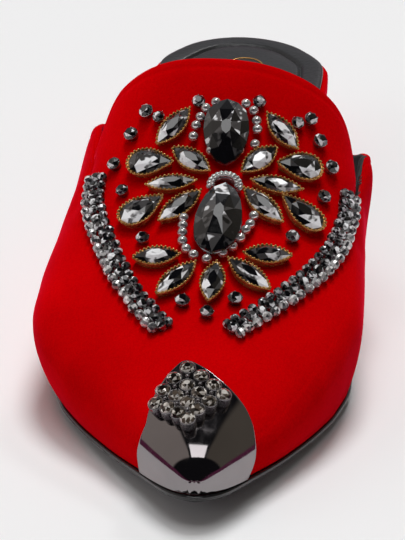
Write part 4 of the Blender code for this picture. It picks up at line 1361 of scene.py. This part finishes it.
def add_chaton(heap, at, axes, lift, width, turned_by, height=1.0, cut=CHATON_CUT):
    """A round stone in a pronged cup."""
    girdle = CHATON_GIRDLE * height
    add_wall(heap, at, axes, circle(width), CHATON_WALL, -lift - SINK, girdle)
    add_gem(heap, at, axes, "round", (width * 0.96, width * 0.96), girdle, CHATON_TOP * height, **cut)
    for k in range(PRONGS):
        swing = 2 * math.pi * k / PRONGS + turned_by
        spot = (math.cos(swing) * width * 0.46, math.sin(swing) * width * 0.46, girdle + 0.1)
        add_ball(heap, to_surface(spot, at, axes), axes, 0.055 * width, 1)


def make_chatons():
    heap = Heap()
    for s, angle, width in CHATONS:
        at, axes, lift = seat(s, angle, 0.0, (width / 2, width / 2))
        add_chaton(heap, at, axes, lift, width, float(RNG.uniform(0, 1.5)))
    nodes = [f"chaton_{k:02d}" for k in range(1, len(CHATONS) + 1)]
    heap.piece("scattered_chatons", (CRYSTAL, SILVER), "smoke_crystal", *nodes)


def make_beads():
    heap = Heap()
    for s, angle in BEADS:
        axes = axes_at(s, angle)
        at = form(s, angle) + axes[2] * (BEAD_WIDTH * 0.5 + 0.5)
        add_ball(heap, at, axes, BEAD_WIDTH / 2, 0, ROUND_BALL)
    heap.piece("sewn_beads", (BRIGHT,), "silver_set_crystal")


# out from the crescent's middle line, count, size, up
PETAL_ROWS = ((0.5, 13, 0.84, 2.0), (-0.5, 11, 0.62, 2.8))
CRESCENT_STEPS = 25


def on_crescent(radius, k, count, up):
    """The k-th of count places along the crescent."""
    swing = math.radians(CRESCENT_SWEEP) * (2 * k / (count - 1) - 1)
    return -radius * math.cos(swing), radius * math.sin(swing), up


def make_crescent():
    """Two rows of tiny silver petals round the narrow end of the front large stone."""
    heap = Heap()
    reach = CRESCENT_RADIUS + CRESCENT_WIDTH
    at, axes, lift = seat(CRESCENT_S, CRESCENT_ANGLE, 0.0, (reach, reach))
    for out, count, size, up in PETAL_ROWS:
        for k in range(count):
            spot = on_crescent(CRESCENT_RADIUS + out, k, count, up)
            add_ball(heap, to_surface(spot, at, axes), axes, size, 0, ROUND_BALL)
    section = ((-0.42, -lift), (0.42, -lift), (0.34, 1.7), (-0.34, 2.1))
    base = [
        on_crescent(CRESCENT_RADIUS + CRESCENT_WIDTH * out, k, CRESCENT_STEPS, up)
        for k in range(CRESCENT_STEPS) for out, up in section
    ]
    loft_into(heap, to_surface(base, at, axes).reshape(CRESCENT_STEPS, 4, 3), 0)
    heap.piece("bead_crescent", (BRIGHT,), "silver_set_crystal", "crescent")


# kind, offset, pitch, width, up
BRAID_ROWS = (
    ("bead", -2.3, 3.1, 2.9, 1.3),
    ("chaton", 0.1, 3.2, 3.3, 0.0),
    ("dark", 2.25, 3.0, 2.7, 1.2),
)


def braid_path(side):
    """The braid's middle line: points, out vectors and across vectors pointing to the foot's back."""
    rows = column(BRAIDS, BRAID_COLUMNS, "s")
    angles = column(BRAIDS, BRAID_COLUMNS, side)
    s = np.linspace(rows[0], rows[-1], 240)
    angle = smooth_curve(rows, angles, s)
    points = form(s, angle)
    out = outward(s, angle)
    step = np.gradient(points, axis=0)
    across = np.cross(out, step)
    across /= np.linalg.norm(across, axis=1, keepdims=True)
    if side == "inner":
        across = -across
    along = step / np.linalg.norm(step, axis=1, keepdims=True)
    run = np.concatenate([[0], np.cumsum(np.linalg.norm(np.diff(points, axis=0), axis=1))])
    return run, points, along, across, out


def two_turns(a, first, b, second):
    """The turn by b about the axis second, then by a about the axis first."""
    return np.array(Matrix.Rotation(a, 3, first) @ Matrix.Rotation(b, 3, second))


def make_braid(side):
    """A braid of three rows: silver beads outside, set stones in the middle, dark beads inside."""
    run, points, along, across, out = braid_path(side)

    def read_path(values, at):
        return np.array([np.interp(at, run, values[:, k]) for k in range(3)])

    heap = Heap()
    for row, (kind, offset, pitch, width, up) in enumerate(BRAID_ROWS):
        count = int(run[-1] / pitch)
        for k in range(count + 1):
            at = run[-1] * (k + 0.15 * (row - 1)) / count
            at = float(np.clip(at + RNG.normal(0, 0.12), 0, run[-1]))
            n = read_path(out, at)
            n /= np.linalg.norm(n)
            t = read_path(along, at)
            t -= n * (t @ n)
            t /= np.linalg.norm(t)
            axes = np.array([t, np.cross(n, t), n])
            shift = offset + float(RNG.normal(0, 0.12))
            base = read_path(points, at) + read_path(across, at) * shift
            if kind == "chaton":
                tilt = two_turns(float(RNG.normal(0, 0.22)), "X", float(RNG.normal(0, 0.22)), "Y")
                turned_by = float(RNG.uniform(0, 1.5))
                add_chaton(heap, base + n * GAP, tilt @ axes, GAP, width, turned_by, 0.85, BRAID_CUT)
            else:
                a, b = RNG.uniform(0, 2 * math.pi, 2)
                spin = two_turns(a, "Z", b, "X")
                # The cut beads' facets are painted dark, grey or bright as painted reflections and
                # glints.
                tones = painted_facet_glints(len(CUT_BALL[1]), 0.2, 0.4)
                finish = 2 if kind == "bead" else 3
                place = base + n * up
                add_ball(heap, place, spin @ axes, width / 2, finish, CUT_BALL, False, tone=tones)
    finishes = (CRYSTAL, SILVER, BEAD_SILVER, BEAD_DARK)
    heap.piece(f"stone_braid_{side}", finishes, "silver_set_crystal", f"braid_{side}")


def on_rhombus(p, q, up):
    """A place over the cap, from the rhombus's back corner (0, 0) to its front one (1, 1)."""
    back, inner, front, outer = (np.array(RHOMBUS[k]) for k in ("back", "inner", "front", "outer"))
    s, angle = (1 - p) * (1 - q) * back + p * (1 - q) * inner + (1 - p) * q * outer + p * q * front
    axes = axes_at(s, angle)
    return form(s, angle) + axes[2] * up, axes


def make_toe_stones():
    """Sixteen round stones in gunmetal cups, in a rhombus on the cap, and small beads between."""
    last = RHOMBUS_STONES - 1
    base = CAP_METAL + GAP
    size = (CUP_WIDTH * 0.9, CUP_WIDTH * 0.9)
    heap = Heap()
    for i in range(RHOMBUS_STONES):
        for j in range(RHOMBUS_STONES):
            at, axes = on_rhombus(i / last, j / last, base)
            add_wall(heap, at, axes, circle(CUP_WIDTH), CUP_WALL, CUP_FOOT, CUP_TOP)
            add_gem(heap, at, axes, "round", size, CUP_TOP - 0.1, CUP_TOP + 0.85, **CUP_CUT)
    for i in range(last):
        for j in range(last):
            at, axes = on_rhombus((i + 0.5) / last, (j + 0.5) / last, base + CUP_TOP - 0.2)
            add_ball(heap, at, axes, 0.62, 1)
    heap.piece("toe_cap_stones", (WARM_CRYSTAL, CUP_METAL), "silver_set_crystal", "toe_stones")


make_gold_stones()
make_large_stones()
make_chatons()
make_beads()
make_crescent()
make_braid("outer")
make_braid("inner")
make_toe_stones()


# Floor, light and camera -------------------------------------------------------------------------

def make_floor():
    shape = bmesh.new()
    bmesh.ops.create_grid(shape, x_segments=1, y_segments=1, size=6.0)
    mesh = bpy.data.meshes.new("floor")
    shape.to_mesh(mesh)
    shape.free()
    finish, _, shader = material("floor_pale", Roughness=0.8)
    shader.inputs["Base Color"].default_value = rgba(0.86, 0.868, 0.875)
    shader.inputs["Specular IOR Level"].default_value = 0.2
    mesh.materials.append(finish)
    made = add_object("floor", mesh)


def make_light(name, place, aim, size, power):
    lamp = bpy.data.lights.new(name, "AREA")
    lamp.shape = "RECTANGLE"
    lamp.size, lamp.size_y = size
    lamp.energy = power
    add_object(name, lamp, place, Vector(aim) - Vector(place))


def make_sun(name, place, strength, spread, mirrored, shadow=True):
    lamp = bpy.data.lights.new(name, "SUN")
    lamp.energy = strength
    lamp.angle = math.radians(spread)
    lamp.use_shadow = shadow
    add_object(name, lamp, towards=-Vector(place)).visible_glossy = mirrored


ROOM_DARK = rgba(0.012, 0.012, 0.014)
OUTER_FLAT = rgba(0.42, 0.38, 0.35)
INNER_FLAT = rgba(0.15, 0.135, 0.11)
BACK_FLAT = rgba(0.30, 0.30, 0.31)
SKIRTING = rgba(0.16, 0.035, 0.09)


def make_world(strength):
    """A dim studio: a grey flat on the outer side, a darker one on the inner side, a low skirting."""
    world = bpy.data.worlds.new("studio")
    world.use_nodes = True
    tree = world.node_tree
    place = node(tree, "ShaderNodeSeparateXYZ")
    tree.links.new(node(tree, "ShaderNodeTexCoord").outputs["Generated"], place.inputs["Vector"])
    x, y, z = place.outputs
    ahead = smooth_step(tree, y, -0.3, -0.2)
    outer = math_node(tree, "MULTIPLY", smooth_step(tree, x, -0.36, -0.42), ahead)
    inner = math_node(tree, "MULTIPLY", smooth_step(tree, x, 0.3, 0.4), ahead)
    dim = mix_colour(tree, outer, ROOM_DARK, OUTER_FLAT)
    dim = mix_colour(tree, inner, dim, INNER_FLAT)
    behind = smooth_step(tree, y, 0.5, 0.75)
    room = mix_colour(tree, behind, dim, BACK_FLAT)
    low = smooth_step(tree, z, 0.2, 0.16)
    tree.links.new(mix_colour(tree, low, room, SKIRTING), tree.nodes["Background"].inputs["Color"])
    tree.nodes["Background"].inputs["Strength"].default_value = strength
    bpy.context.scene.world = world


EYE = (0.027332, -0.670335, 0.3532)
AIM = (-0.002793, 0.00015, 0.005922)
CAMERA_ROLL = 0.964            # degrees
FOCAL_PIXELS = 2584.0
FRAME_HEIGHT = 540
SENSOR = 36.0


def make_camera():
    data = bpy.data.cameras.new("camera")
    data.sensor_width = SENSOR
    data.lens = SENSOR * FOCAL_PIXELS / FRAME_HEIGHT
    data.clip_start = 0.01
    data.clip_end = 50.0
    made = add_object("camera", data)
    forward = (Vector(AIM) - Vector(EYE)).normalized()
    level = forward.cross(Vector((0, 0, 1))).normalized()
    over = level.cross(forward)
    roll = math.radians(CAMERA_ROLL)
    right = level * math.cos(roll) + over * math.sin(roll)
    up = right.cross(forward)
    axes = Matrix((right, up, -forward)).transposed()
    made.matrix_world = Matrix.Translation(Vector(EYE)) @ axes.to_4x4()
    bpy.context.scene.camera = made


make_floor()
make_light("window_above", (-0.12, -0.12, 4.0), (-0.12, -0.12, 0.0), (2.4, 2.3), 46.0)
make_sun("softbox_behind", (0.04, 0.46, 1.0), 1.76, 20.0, False)
make_sun("fill_outer", (-0.9, -0.35, 0.3), 0.5, 40.0, False, False)
make_sun("spot_behind", (0.3, 0.95, 1.0), 0.3, 8.0, True)
make_world(1.0)
make_camera()
bpy.context.scene.view_settings.view_transform = "Standard"
